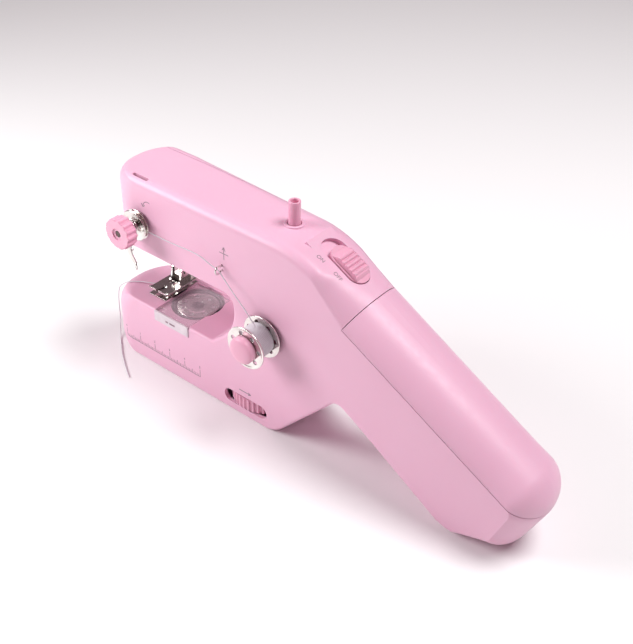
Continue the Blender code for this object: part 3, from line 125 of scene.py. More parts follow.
def arc(cx, cy, radius, start, end, steps):
    """Points on a circle's arc, in degrees."""
    turns = [math.radians(start + (end - start) * i / steps) for i in range(steps + 1)]
    return [(cx + radius * math.cos(t), cy + radius * math.sin(t)) for t in turns]


def stadium(cx, cy, long, high, steps=8):
    """Outline with two straight sides and round ends, long along the first axis."""
    r = high / 2
    run = long / 2 - r
    return arc(cx + run, cy, r, -90, 90, steps) + arc(cx - run, cy, r, 90, 270, steps)


def smooth_route(points, spacing):
    """Even points on a smooth curve through the given ones."""
    points = [Vector(p) for p in points]
    dense = []
    for i in range(len(points) - 1):
        before = points[max(i - 1, 0)]
        after = points[min(i + 2, len(points) - 1)]
        a, b = points[i], points[i + 1]
        for k in range(24):
            t = k / 24
            dense.append(0.5 * (2 * a + (b - before) * t + (2 * before - 5 * a + 4 * b - after) * t ** 2
                                + (3 * a - before - 3 * b + after) * t ** 3))
    dense.append(points[-1])
    length = sum((dense[i + 1] - dense[i]).length for i in range(len(dense) - 1))
    count = max(2, round(length / spacing))
    even, walked, target = [dense[0]], 0.0, length / count
    for i in range(len(dense) - 1):
        step = (dense[i + 1] - dense[i]).length
        while walked + step >= target * len(even) and len(even) < count:
            even.append(dense[i].lerp(dense[i + 1], (target * len(even) - walked) / step))
        walked += step
    return even + [dense[-1]]


def coil_points(centre, axis, radii, length, turns, per_turn=12):
    """Helix from centre along axis, its radius going from the first to the second of radii."""
    frame = Matrix.Translation(centre) @ facing(axis)
    count = int(turns * per_turn)
    points = []
    for i in range(count + 1):
        t = i / count
        r = radii[0] + (radii[1] - radii[0]) * t
        angle = math.tau * turns * t
        points.append(frame @ Vector((r * math.cos(angle), r * math.sin(angle), length * t)))
    return points


def boolean(obj, other, operation='DIFFERENCE'):
    modifier = obj.modifiers.new(other.name, 'BOOLEAN')
    modifier.operation = operation
    modifier.object = other
    modifier.solver = 'EXACT'
    return obj


def cut(obj, *cutters):
    for cutter in cutters:
        boolean(obj, cutter)
    return obj


def join(obj, *others):
    for other in others:
        boolean(obj, other, 'UNION')
    return obj


helpers = []


def from_bmesh(name, mesh, material=None):
    """New object; one without a material is a cutter, which isn't shown and is removed at the end."""
    bmesh.ops.recalc_face_normals(mesh, faces=mesh.faces)
    data = bpy.data.meshes.new(name)
    mesh.to_mesh(data)
    mesh.free()
    obj = bpy.data.objects.new(name, data)
    bpy.context.scene.collection.objects.link(obj)
    if material:
        data.materials.append(material)
    else:
        helpers.append(obj)
    return obj


def block(name, low, high, material=None, bevel=0.0):
    mesh = bmesh.new()
    size = [high[i] - low[i] for i in range(3)]
    centre = [(high[i] + low[i]) / 2 for i in range(3)]
    bmesh.ops.create_cube(mesh, size=1)
    bmesh.ops.scale(mesh, vec=size, verts=mesh.verts)
    if bevel:
        bmesh.ops.bevel(mesh, geom=mesh.edges, offset=bevel, segments=3, profile=0.5, affect='EDGES')
    obj = from_bmesh(name, mesh, material)
    obj.location = centre
    return obj


def rod(name, start, axis, length, radius, material=None, sides=64, bevel=0.0, tip=None):
    mesh = bmesh.new()
    far = radius if tip is None else tip
    bmesh.ops.create_cone(mesh, cap_ends=True, segments=sides, radius1=radius, radius2=far, depth=length,
                          matrix=Matrix.Translation((0, 0, length / 2)))
    if bevel:
        rims = [e for e in mesh.edges if abs(e.verts[0].co.z - e.verts[1].co.z) < 1e-9]
        bmesh.ops.bevel(mesh, geom=rims, offset=bevel, segments=3, profile=0.5, affect='EDGES')
    obj = from_bmesh(name, mesh, material)
    obj.matrix_world = Matrix.Translation(start) @ facing(axis)
    return obj


def turned(name, profile, start, axis, material=None, steps=96, wobble=None):
    """Turned piece: profile is a closed run of (radius, height) points; wobble moves each by angle."""
    mesh = bmesh.new()
    rings = []
    for k in range(steps):
        angle = math.tau * k / steps
        ring = []
        for r, h in profile:
            if wobble:
                r, h = wobble(r, h, angle)
            ring.append(mesh.verts.new((r * math.cos(angle), r * math.sin(angle), h)))
        rings.append(ring)
    count = len(profile)
    for k in range(steps):
        near, far = rings[k], rings[(k + 1) % steps]
        for i in range(count):
            mesh.faces.new((near[i], near[(i + 1) % count], far[(i + 1) % count], far[i]))
    obj = from_bmesh(name, mesh, material)
    obj.matrix_world = Matrix.Translation(start) @ facing(axis)
    return obj


def soft_profile(points, radius, steps=4):
    """Closed profile with each corner rounded by up to radius."""
    out = []
    count = len(points)
    for i in range(count):
        a, b, c = (Vector(points[(i + k) % count]) for k in (-1, 0, 1))
        size = min(radius, 0.45 * (a - b).length, 0.45 * (c - b).length)
        start, end = b + (a - b).normalized() * size, b + (c - b).normalized() * size
        for k in range(steps + 1):
            t = k / steps
            out.append(tuple((1 - t) ** 2 * start + 2 * t * (1 - t) * b + t ** 2 * end))
    return out


def prism(name, outline, low, high, axis='Y', material=None, bevel=0.0, segments=3):
    def at(point, depth):
        u, v = point
        return {'Y': (u, depth, v), 'Z': (u, v, depth), 'X': (depth, u, v)}[axis]
    mesh = bmesh.new()
    near = [mesh.verts.new(at(p, low)) for p in outline]
    far = [mesh.verts.new(at(p, high)) for p in outline]
    count = len(outline)
    caps = [mesh.faces.new(near), mesh.faces.new(far)]
    for i in range(count):
        mesh.faces.new((near[i], near[(i + 1) % count], far[(i + 1) % count], far[i]))
    if bevel:
        rims = [e for cap in caps for e in cap.edges]
        bmesh.ops.bevel(mesh, geom=rims, offset=bevel, segments=segments, profile=0.5, affect='EDGES')
    return from_bmesh(name, mesh, material)


def wire(name, points, radius, material, closed=False, resolution=4):
    """Wire or thread on a poly spline."""
    curve = bpy.data.curves.new(name, 'CURVE')
    curve.dimensions = '3D'
    curve.bevel_depth = radius
    curve.bevel_resolution = resolution
    curve.use_fill_caps = True
    spline = curve.splines.new('POLY')
    spline.points.add(len(points) - 1)
    for point, co in zip(spline.points, points):
        point.co = (*co, 1)
    spline.use_cyclic_u = closed
    spline.use_smooth = True
    obj = bpy.data.objects.new(name, curve)
    bpy.context.scene.collection.objects.link(obj)
    curve.materials.append(material)
    return obj


def finish_mesh(obj, angle=32, weighted=True):
    """Apply the Booleans, then smooth it with its hard edges kept."""
    bpy.context.view_layer.update()
    graph = bpy.context.evaluated_depsgraph_get()
    data = bpy.data.meshes.new_from_object(obj.evaluated_get(graph))
    obj.modifiers.clear()
    obj.data = data
    data.shade_smooth()
    data.set_sharp_from_angle(angle=math.radians(angle))
    if weighted:
        keep = obj.modifiers.new("weighted", 'WEIGHTED_NORMAL')
        keep.keep_sharp = True
        keep.weight = 60
    return obj


def put(obj, body, slot, *nodes):
    """Ride on a body and stand for CAD nodes."""
    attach(obj, body)
    if nodes:
        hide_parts(*nodes)
    return obj


# ---- materials ---------------------------------------------------------------------------------
def node_material(name):
    material = bpy.data.materials.new(name)
    material.use_nodes = True
    tree = material.node_tree
    return material, tree, tree.nodes["Principled BSDF"]


def noise(tree, scale, detail=4, stretch=None):
    coords = tree.nodes.new("ShaderNodeTexCoord")
    texture = tree.nodes.new("ShaderNodeTexNoise")
    texture.inputs["Scale"].default_value = scale
    texture.inputs["Detail"].default_value = detail
    source = coords.outputs["Object"]
    if stretch:
        mapping = tree.nodes.new("ShaderNodeMapping")
        mapping.inputs["Scale"].default_value = stretch
        tree.links.new(source, mapping.inputs["Vector"])
        source = mapping.outputs["Vector"]
    tree.links.new(source, texture.inputs["Vector"])
    return texture.outputs["Fac"]


def ramp(tree, source, low, high, start=0.3, end=0.7):
    """Map a 0..1 signal to a range of values."""
    node = tree.nodes.new("ShaderNodeMapRange")
    node.inputs["From Min"].default_value = start
    node.inputs["From Max"].default_value = end
    node.inputs["To Min"].default_value = low
    node.inputs["To Max"].default_value = high
    tree.links.new(source, node.inputs["Value"])
    return node.outputs["Result"]


def blend_colours(tree, factor, first, second):
    node = tree.nodes.new("ShaderNodeMix")
    node.data_type = 'RGBA'
    node.inputs["A"].default_value = (*first, 1)
    node.inputs["B"].default_value = (*second, 1)
    tree.links.new(factor, node.inputs["Factor"])
    return node.outputs["Result"]


def bumped(tree, height, distance, strength=1.0, edge=0.0):
    node = tree.nodes.new("ShaderNodeBump")
    node.inputs["Distance"].default_value = distance
    node.inputs["Strength"].default_value = strength
    tree.links.new(height, node.inputs["Height"])
    if edge:
        bevel = tree.nodes.new("ShaderNodeBevel")
        bevel.samples = 4
        bevel.inputs["Radius"].default_value = edge
        tree.links.new(bevel.outputs["Normal"], node.inputs["Normal"])
    return node.outputs["Normal"]


def plastic(name, colour, deeper, roughness=(0.38, 0.48), grain=0.012 * MM, edge=0.25 * MM, sheen=0.15):
    """Moulded plastic: faint cloudy colour, spark-eroded grain and softened edges."""
    material, tree, shader = node_material(name)
    cloud = noise(tree, 28, 3)
    tree.links.new(blend_colours(tree, ramp(tree, cloud, 0, 1, 0.25, 0.75), colour, deeper),
                   shader.inputs["Base Color"])
    tree.links.new(ramp(tree, noise(tree, 420, 2), *roughness), shader.inputs["Roughness"])
    tree.links.new(bumped(tree, noise(tree, 3600, 2), grain, 0.6, edge), shader.inputs["Normal"])
    shader.inputs["Specular IOR Level"].default_value = 0.5
    shader.inputs["Sheen Weight"].default_value = sheen
    shader.inputs["Sheen Roughness"].default_value = 0.5
    shader.inputs["Subsurface Weight"].default_value = 0.18
    shader.inputs["Subsurface Radius"].default_value = (1.0, 0.45, 0.6)
    shader.inputs["Subsurface Scale"].default_value = 1.6 * MM
    return material


def metal(name, colour, darker, roughness=(0.1, 0.2), scratch=0.004 * MM, stretch=(1, 1, 12), edge=0.12 * MM):
    """Worked metal: fine directional scratches and slight tarnish."""
    material, tree, shader = node_material(name)
    stain = noise(tree, 160, 3)
    tree.links.new(blend_colours(tree, ramp(tree, stain, 0, 1), colour, darker), shader.inputs["Base Color"])
    lines = noise(tree, 2200, 2, stretch)
    tree.links.new(ramp(tree, lines, *roughness), shader.inputs["Roughness"])
    tree.links.new(bumped(tree, lines, scratch, 0.5, edge), shader.inputs["Normal"])
    shader.inputs["Metallic"].default_value = 1
    return material


def thread_material(name, colour, shade):
    """Twisted sewing thread: fine diagonal plies, with the darker colour between them as painted shade in the
    grooves.
    """
    material, tree, shader = node_material(name)
    coords = tree.nodes.new("ShaderNodeTexCoord")
    wave = tree.nodes.new("ShaderNodeTexWave")
    wave.wave_type = 'BANDS'
    wave.bands_direction = 'DIAGONAL'
    wave.inputs["Scale"].default_value = 900
    wave.inputs["Distortion"].default_value = 1.5
    tree.links.new(coords.outputs["Object"], wave.inputs["Vector"])
    tree.links.new(blend_colours(tree, wave.outputs["Fac"], colour, shade), shader.inputs["Base Color"])
    tree.links.new(bumped(tree, wave.outputs["Fac"], 0.05 * MM, 0.7), shader.inputs["Normal"])
    tree.links.new(ramp(tree, noise(tree, 900, 2), 0.55, 0.75), shader.inputs["Roughness"])
    shader.inputs["Sheen Weight"].default_value = 0.4
    return material


def clear_material(name, colour, roughness, alpha):
    """Thin clear moulding: mostly see-through, with its own surface reflection and a faint tint."""
    material, tree, shader = node_material(name)
    tree.links.new(blend_colours(tree, noise(tree, 60, 2), colour, tuple(c * 0.97 for c in colour)),
                   shader.inputs["Base Color"])
    tree.links.new(ramp(tree, noise(tree, 300, 2), roughness * 0.7, roughness * 1.3),
                   shader.inputs["Roughness"])
    tree.links.new(bumped(tree, noise(tree, 240, 2), 0.02 * MM, 0.4, 0.15 * MM), shader.inputs["Normal"])
    tree.links.new(ramp(tree, noise(tree, 200, 2), alpha * 0.92, alpha * 1.08), shader.inputs["Alpha"])
    return material


case_pink = plastic("case_pink", (0.82, 0.475, 0.625), (0.80, 0.45, 0.60))
trim_pink = plastic("trim_pink", (0.80, 0.40, 0.54), (0.78, 0.375, 0.51), (0.3, 0.42),
                    0.006 * MM, 0.3 * MM, 0.2)
lining = plastic("lining_pink", (0.74, 0.34, 0.46), (0.72, 0.32, 0.44))
steel = metal("polished_steel", (0.80, 0.78, 0.75), (0.66, 0.63, 0.60))
ground = metal("ground_steel", (0.62, 0.61, 0.60), (0.50, 0.49, 0.48), (0.25, 0.4), 0.008 * MM)
dark_metal = metal("dark_metal", (0.20, 0.15, 0.14), (0.10, 0.075, 0.07), (0.22, 0.38))
brass = metal("bearing_brass", (0.72, 0.54, 0.30), (0.60, 0.44, 0.24), (0.25, 0.4))
natural = plastic("natural_nylon", (0.86, 0.85, 0.80), (0.82, 0.80, 0.74), (0.4, 0.5))
black = plastic("black_plastic", (0.035, 0.033, 0.035), (0.02, 0.02, 0.022), (0.35, 0.5), sheen=0.0)
cell_skin = plastic("cell_wrap", (0.16, 0.18, 0.22), (0.13, 0.15, 0.19), (0.25, 0.35), sheen=0.0)
# Both thread colours are set well below the white of the thread itself. The first is painted shade, grey and
# faintly pink; the second is the darker painted shade of the ply grooves.
thread = thread_material("white_thread", (0.74, 0.70, 0.74), (0.55, 0.50, 0.55))
clear = clear_material("clear_plastic", (0.93, 0.80, 0.87), 0.08, 0.24)
frosted = clear_material("frosted_plastic", (0.90, 0.82, 0.87), 0.4, 0.7)
ink = plastic("print_ink", (0.24, 0.15, 0.19), (0.30, 0.20, 0.24), (0.5, 0.6), edge=0.0, sheen=0.0)


# ---- the handle frame and the outline of the case ---------------------------------------------
ALONG = Vector((math.cos(HANDLE_SLOPE), 0, -math.sin(HANDLE_SLOPE)))
OUT = Vector((math.sin(HANDLE_SLOPE), 0, math.cos(HANDLE_SLOPE)))
SHOULDER = Vector((SHOULDER_X, 0, ARM_TOP))


def handle_point(s, y, depth):
    """s along the handle's top from the battery cover's seam, depth below that top."""
    return SHOULDER + ALONG * (SEAM_FROM_SHOULDER + s) - OUT * depth + Y * y


def handle_frame():
    """Matrix with local X along the handle, local Y across and local Z out of its top."""
    rows = Matrix((ALONG, Y, OUT)).transposed().to_4x4()
    return Matrix.Translation(handle_point(0, 0, 0)) @ rows


def on_handle(obj):
    obj.matrix_world = handle_frame() @ obj.matrix_basis
    return obj


def case_corners():
    """Corners of the side view, anticlockwise from the bed's lower left.

    Each is (x, z, fillet, front edge inset, back edge inset, crown). The crown is the share of the
    edge that follows one broad arc over the case's depth instead of a quarter round.
    """
    tip = SHOULDER + ALONG * HANDLE_LENGTH
    line = [SHOULDER + ALONG * s * MM for s in (18, 34)]
    tail = SHOULDER + ALONG * (HANDLE_LENGTH - 22 * MM)
    return [
        (BED_LEFT, 0, 8 * MM, 1.5 * MM, 2 * MM, 0),
        (BASE_RIGHT, 0, 14 * MM, 1.5 * MM, 3 * MM, 0),
        (*NOTCH, 5 * MM, 1.5 * MM, 3 * MM, 0),
        (HEEL_RIGHT - HEEL_LENGTH, 0, 20 * MM, 3 * MM, 4 * MM, 0.5),
        (HEEL_RIGHT, 0, 11 * MM, 9 * MM, 9 * MM, 0.9),
        (tip.x, tip.z, 15 * MM, 10 * MM, 10 * MM, 1),
        (tail.x, tail.z, 0, BAND - GAP, BAND - GAP, 1),
        (line[1].x, line[1].z, 0, 10.2 * MM, 10.4 * MM, 0.75),
        (line[0].x, line[0].z, 0, 6 * MM, 11 * MM, 0.3),
        (SHOULDER_X, ARM_TOP, 50 * MM, 4.5 * MM, 12 * MM, 0),
        (ARM_LEFT + 24 * MM, ARM_TOP, 0, 4 * MM, 5 * MM, 0),
        (ARM_LEFT, ARM_TOP, 7 * MM, 3.5 * MM, 5 * MM, 0),
        (ARM_LEFT, ARM_UNDER, 3.5 * MM, 1.2 * MM, 2 * MM, 0),
        (THROAT_RIGHT, ARM_UNDER, 6 * MM, 1.2 * MM, 2 * MM, 0),
        (THROAT_RIGHT, ARM_UNDER - 18.6 * MM, 24 * MM, 1.5 * MM, 2 * MM, 0),
        (THROAT_RIGHT - 14.3 * MM, BED_TOP, 3 * MM, 1.5 * MM, 2 * MM, 0),
        (BED_LEFT, BED_TOP, 12 * MM, 1.5 * MM, 2 * MM, 0),
    ]


CROWN_TURN = math.radians(60)   # slope at which the crown meets the side


def edge_profile(radius, crown, wall, t):
    """Inset and depth of an edge, from the side face (t = 0) to the rim (t = 1)."""
    turn, lean = t * math.pi / 2, CROWN_TURN * (1 - t)
    wide = HALF - wall - 0.5 * MM
    arc_in = (1 - math.cos(lean)) / (1 - math.cos(CROWN_TURN))
    arc_across = 1 - math.sin(lean) / math.sin(CROWN_TURN)
    inset = radius * ((1 - math.sin(turn)) * (1 - crown) + arc_in * crown)
    depth = radius * (1 - math.cos(turn)) * (1 - crown) + wide * arc_across * crown
    return inset, depth


def end_shift(x, z, off_middle, wall):
    """How far the plan rounding of a free end moves a point along X."""
    end = ARM_LEFT if z > (BED_TOP + ARM_UNDER) / 2 else BED_LEFT
    fade = min(max(1 - (x - end) / END_REACH, 0), 1)
    past = abs(off_middle) - (HALF - END_ROUND)
    radius = END_ROUND - wall
    if past <= 0:
        return 0
    return fade * (radius - math.sqrt(max(radius ** 2 - past ** 2, 0)))


# ---- case ---------------------------------------------------------------------------------------
def rounded_outline(corners, arc_step=math.radians(5), spacing=5 * MM):
    """Filleted outline: rows of (point, inward normal, front inset, back inset, crown)."""
    count = len(corners)
    spots = [Vector(c[:2]) for c in corners]
    fillets = []
    for i, corner in enumerate(corners):
        before = (spots[i] - spots[i - 1]).normalized()
        after = (spots[(i + 1) % count] - spots[i]).normalized()
        turn = math.atan2(before.x * after.y - before.y * after.x, before.dot(after))
        fillets.append((before, after, turn, corner[2] * math.tan(abs(turn) / 2)))
    rows = []
    for i, corner in enumerate(corners):
        before, after, turn, reach = fillets[i]
        edge = corner[3:]
        if corner[2] == 0:
            rows.append((spots[i], Vector((-(before + after).y, (before + after).x)).normalized(), *edge))
        else:
            steps = max(2, math.ceil(abs(turn) / arc_step))
            start = spots[i] - before * reach
            inward = Vector((-before.y, before.x))
            side = 1 if turn > 0 else -1
            centre = start + inward * corner[2] * side
            for k in range(steps + 1):
                normal = Matrix.Rotation(turn * k / steps, 2) @ inward
                rows.append((centre - normal * corner[2] * side, normal, *edge))
        last, following = rows[-1], corners[(i + 1) % count]
        goal = spots[(i + 1) % count] - after * fillets[(i + 1) % count][3]
        pieces = int((goal - last[0]).length / spacing)
        for k in range(1, pieces + 1):
            t = k / (pieces + 1)
            mixed = [edge[j] + (following[3 + j] - edge[j]) * t for j in range(3)]
            rows.append((last[0].lerp(goal, t), Vector((-after.y, after.x)), *mixed))
    return rows


def skin(name, wall, material=None, edge_steps=9, body_steps=14, **outline_steps):
    """Closed case surface from the front face to the back one."""
    mesh = bmesh.new()
    outline = rounded_outline(case_corners(), **outline_steps)
    levels = [(-1, k / edge_steps) for k in range(edge_steps + 1)]
    levels += [(0, k / body_steps) for k in range(1, body_steps)]
    levels += [(1, 1 - k / edge_steps) for k in range(edge_steps + 1)]
    rings = []
    for side, t in levels:
        ring = []
        for point, normal, front, back, crown in outline:
            front = max(front - 0.55 * wall, 0.5 * MM)
            back = max(back - 0.55 * wall, 0.5 * MM)
            if side:
                inset, depth = edge_profile(front if side < 0 else back, crown, wall, t)
                y = side * (HALF - wall - depth)
            else:
                start = edge_profile(front, crown, wall, 1)[1] - (HALF - wall)
                end = HALF - wall - edge_profile(back, crown, wall, 1)[1]
                inset, y = 0, start + (end - start) * t
            spot = point + normal * (wall + inset)
            spot.x += end_shift(spot.x, spot.y, y, wall)
            ring.append(mesh.verts.new((spot.x, y, spot.y)))
        rings.append(ring)
    count = len(outline)
    for near, far in zip(rings, rings[1:]):
        for i in range(count):
            mesh.faces.new((near[i], near[(i + 1) % count], far[(i + 1) % count], far[i]))
    mesh.faces.new(rings[0])
    mesh.faces.new(rings[-1])
    return from_bmesh(name, mesh, material)


def cover_region(name, start, clearance):
    obj = block(name, (start, -HALF - 5 * MM, -BAND + clearance),
                (HANDLE_LENGTH + 20 * MM, HALF + 5 * MM, 20 * MM))
    return on_handle(obj)


def screw_places():
    return [(26 * MM, ARM_TOP - 9.5 * MM), (BED_LEFT + 18.5 * MM, 8 * MM),
            (BASE_RIGHT + 13.5 * MM, 28 * MM), (HEEL_RIGHT - 12 * MM, 17 * MM)]


def make_shells():
    hollow = skin("hollow", WALL, None, 2, 2, arc_step=math.radians(23), spacing=22 * MM)
    far = 300 * MM
    main = cut(skin("main_case", 0, case_pink), hollow)
    back = cut(skin("rear_case", 0, case_pink), hollow)
    lid = cut(skin("battery_lid", 0, case_pink), hollow)
    for i, (x, z) in enumerate(screw_places()):
        boss = rod(f"boss_{i}", (x, -HALF + WALL / 2, z), Y, 2 * HALF - WALL, 4 * MM, None, 32)
        join(back, boss)
    opening = cover_region("opening", 0, 0)
    cut(main, block("behind", (-far, SEAM_Y - GAP / 2, -far), (far, far, far)), opening)
    cut(back, block("before", (-far, -far, -far), (far, SEAM_Y + GAP / 2, far)), opening)
    boolean(lid, cover_region("keep", GAP, GAP), 'INTERSECT')
    for i, (x, z) in enumerate(screw_places()):
        cut(back, rod(f"hole_{i}", (x, 0, z), Y, HALF + MM, 1.5 * MM, None, 24))
        cut(back, rod(f"bore_{i}", (x, 15.1 * MM, z), Y, HALF, 2.9 * MM, None, 40))
    cut_front_face(main)
    cut_bed(main)
    cut_top(main, back)
    for obj, node in ((main, "main_shell"), (back, "back_cover")):
        put(finish_mesh(obj), "case", "case_plastic", node)
    put(finish_mesh(lid), "battery_lid", "case_plastic", "battery_cover")


def cut_front_face(main):
    join(main, rod("boss_ring", (SPINDLE_X, -HALF + WALL - 0.5 * MM, SPINDLE_Z), Y, 3.8 * MM, 10.6 * MM))
    cut(main, rod("recess", (SPINDLE_X, -HALF - 5 * MM, SPINDLE_Z), Y, 7.2 * MM, 8.6 * MM, None, 96))
    cut(main, rod("spindle_hole", (SPINDLE_X, -HALF - 5 * MM, SPINDLE_Z), Y, 16 * MM, 3 * MM))
    cut(main, rod("post_hole", (TENSION_X, -HALF - 5 * MM, TENSION_Z), Y, 10 * MM, 1.7 * MM, None, 40))
    ends = EYELET_R * math.sin(math.radians(140))
    for side in (-1, 1):
        cut(main, rod(f"eyelet_hole_{side}", (EYELET_X, -HALF - MM, EYELET_Z + side * ends), Y, WALL + 2 * MM,
                      0.6 * MM, None, 24))
    slot = stadium(SHAFT_X + 0.4 * MM, WHEEL_Z, 26 * MM, WHEEL_THICK + 1.2 * MM, 20)
    cut(main, prism("wheel_slot", slot, -HALF - 5 * MM, -HALF + 5 * MM, 'Y'))


def cut_bed(main):
    deck = BED_TOP - 1.1 * MM
    cut(main, block("plate_seat", (PLATE[0] - 0.2 * MM, PLATE[1] - 0.2 * MM, deck),
                    (PLATE[2] + 0.2 * MM, PLATE[3] + 0.2 * MM, BED_TOP + 3 * MM)))
    cut(main, block("feed_window", (PLATE[0] + 0.9 * MM, -8 * MM, BED_TOP - 6 * MM),
                    (PLATE[2] - 0.8 * MM, 9 * MM, BED_TOP + 3 * MM)))
    seat = BED_TOP - 1.2 * MM
    cut(main, block("lid_seat", (-COVER_HALF - 0.2 * MM, -HALF - 3 * MM, seat - 0.1 * MM),
                    (COVER_HALF + 0.2 * MM, 11.3 * MM, BED_TOP + 3 * MM)))
    cut(main, block("lid_front", (-COVER_HALF - 0.2 * MM, -HALF - 3 * MM, BED_TOP - 5.8 * MM),
                    (COVER_HALF + 0.2 * MM, -HALF + 0.8 * MM, BED_TOP + 3 * MM)))
    cut(main, rod("bobbin_mouth", (0, 0, BED_TOP - 8 * MM), Z, 12 * MM, BOBBIN_R + 2.7 * MM, None, 96))


def cut_top(main, back):
    for name, y, r in (("needle_hole", 0, 1.9 * MM), ("presser_hole", PRESSER_Y, 1.8 * MM)):
        cut(main, rod(name, (NEEDLE_X, y, ARM_UNDER - 2 * MM), Z, 8 * MM, r))
    lever_y = -HALF + WALL + 1.2 * MM
    cut(main, prism("lever_slot", stadium(NEEDLE_X + 0.6 * MM, lever_y, 9.6 * MM, 1.7 * MM, 10),
                    ARM_TOP - 5 * MM, ARM_TOP + 5 * MM, 'Z'))
    cut(back, rod("lifter_hole", (NEEDLE_X + 9 * MM, 0, ARM_UNDER + 12 * MM), Y, 30 * MM, 2.7 * MM))
    join(main, turned("pin_ring", soft_profile([(3.05 * MM, 0), (4.45 * MM, 0), (4.45 * MM, 1.6 * MM),
                                                (3.05 * MM, 1.6 * MM)], 0.3 * MM),
                      (PIN_X, PIN_Y, ARM_TOP - MM), Z))
    cut(main, rod("pin_hole", (PIN_X, PIN_Y, ARM_TOP - 4 * MM), Z, 8 * MM, 3.05 * MM))
    plinth = block("plinth", (-36 * MM, -8 * MM, -4.9 * MM), (-4 * MM, 8 * MM, -1.3 * MM))
    join(main, on_handle(plinth))
    outline = stadium(-20 * MM, 0, 25 * MM, 11.8 * MM, 24)
    cut(main, on_handle(prism("pocket", outline, -2.9 * MM, 8 * MM, 'Z')))
    stem_slot = block("stem_slot", (-26.1 * MM, -2.1 * MM, -12 * MM), (-16.9 * MM, 2.1 * MM, 4 * MM))
    cut(main, on_handle(stem_slot))


# ---- turned and formed pieces -------------------------------------------------------------------
def fine_bobbin(name, start, axis, fill, body, nodes):
    """Pressed metal bobbin with rolled rims and round holes, and the thread wound on it in layers."""
    rim, hub, bore, flange, high = BOBBIN_R, 5 * MM, 3.1 * MM, 0.8 * MM, BOBBIN_HIGH
    profile = soft_profile([(bore, 0), (bore, high), (hub + 0.6 * MM, high), (hub + MM, high - 0.25 * MM),
                            (rim - 1.3 * MM, high - 0.25 * MM), (rim - 0.9 * MM, high), (rim, high),
                            (rim, high - flange), (hub, high - flange), (hub, flange), (rim, flange),
                            (rim, 0), (rim - 0.9 * MM, 0), (rim - 1.3 * MM, 0.25 * MM), (hub + MM, 0.25 * MM),
                            (hub + 0.6 * MM, 0)], 0.25 * MM)
    bobbin = turned(name, profile, start, axis, steel)
    for i in range(7):
        angle = math.tau * (i + 0.13) / 7
        hole = rod(f"{name}_hole_{i}", (7.4 * MM * math.cos(angle), 7.4 * MM * math.sin(angle), -MM), Z,
                   high + 2 * MM, 1.15 * MM, None, 32)
        hole.matrix_world = bobbin.matrix_world @ hole.matrix_world
        cut(bobbin, hole)
    put(finish_mesh(bobbin), body, "polished_steel", nodes[0])
    inner, low, top = hub + 0.1 * MM, flange + 0.1 * MM, high - flange - 0.1 * MM
    turns = 26
    outer = []
    for i in range(turns * 4 + 1):
        t = i / (turns * 4)
        swell = -0.35 * MM * (2 * t - 1) ** 4 + 0.09 * MM * math.cos(math.tau * turns * t)
        outer.append((fill + swell - 0.1 * MM, low + (top - low) * t))
    winding = turned(name + "_winding", [(inner, low)] + outer + [(inner, top)], start, axis, thread, 72,
                     lambda r, h, a: (r, h + (0.05 * MM * math.sin(3 * a) if r > inner + MM else 0)))
    put(finish_mesh(winding, 60, False), body, "white_thread", nodes[1])


def knurled(name, start, axis, radius, thick, ribs, deep, material, bevel):
    """Grip wheel with rounded ribs."""
    outline = []
    per, squareness = 12, 2.4
    for i in range(ribs * per):
        angle = math.tau * i / (ribs * per)
        wave = math.tanh(squareness * math.cos(ribs * angle)) / math.tanh(squareness)
        r = radius - deep * (0.5 - 0.5 * wave)
        outline.append((r * math.cos(angle), r * math.sin(angle)))
    obj = prism(name, outline, 0, thick, 'Z', material, bevel)
    obj.matrix_world = Matrix.Translation(start) @ facing(axis)
    return obj


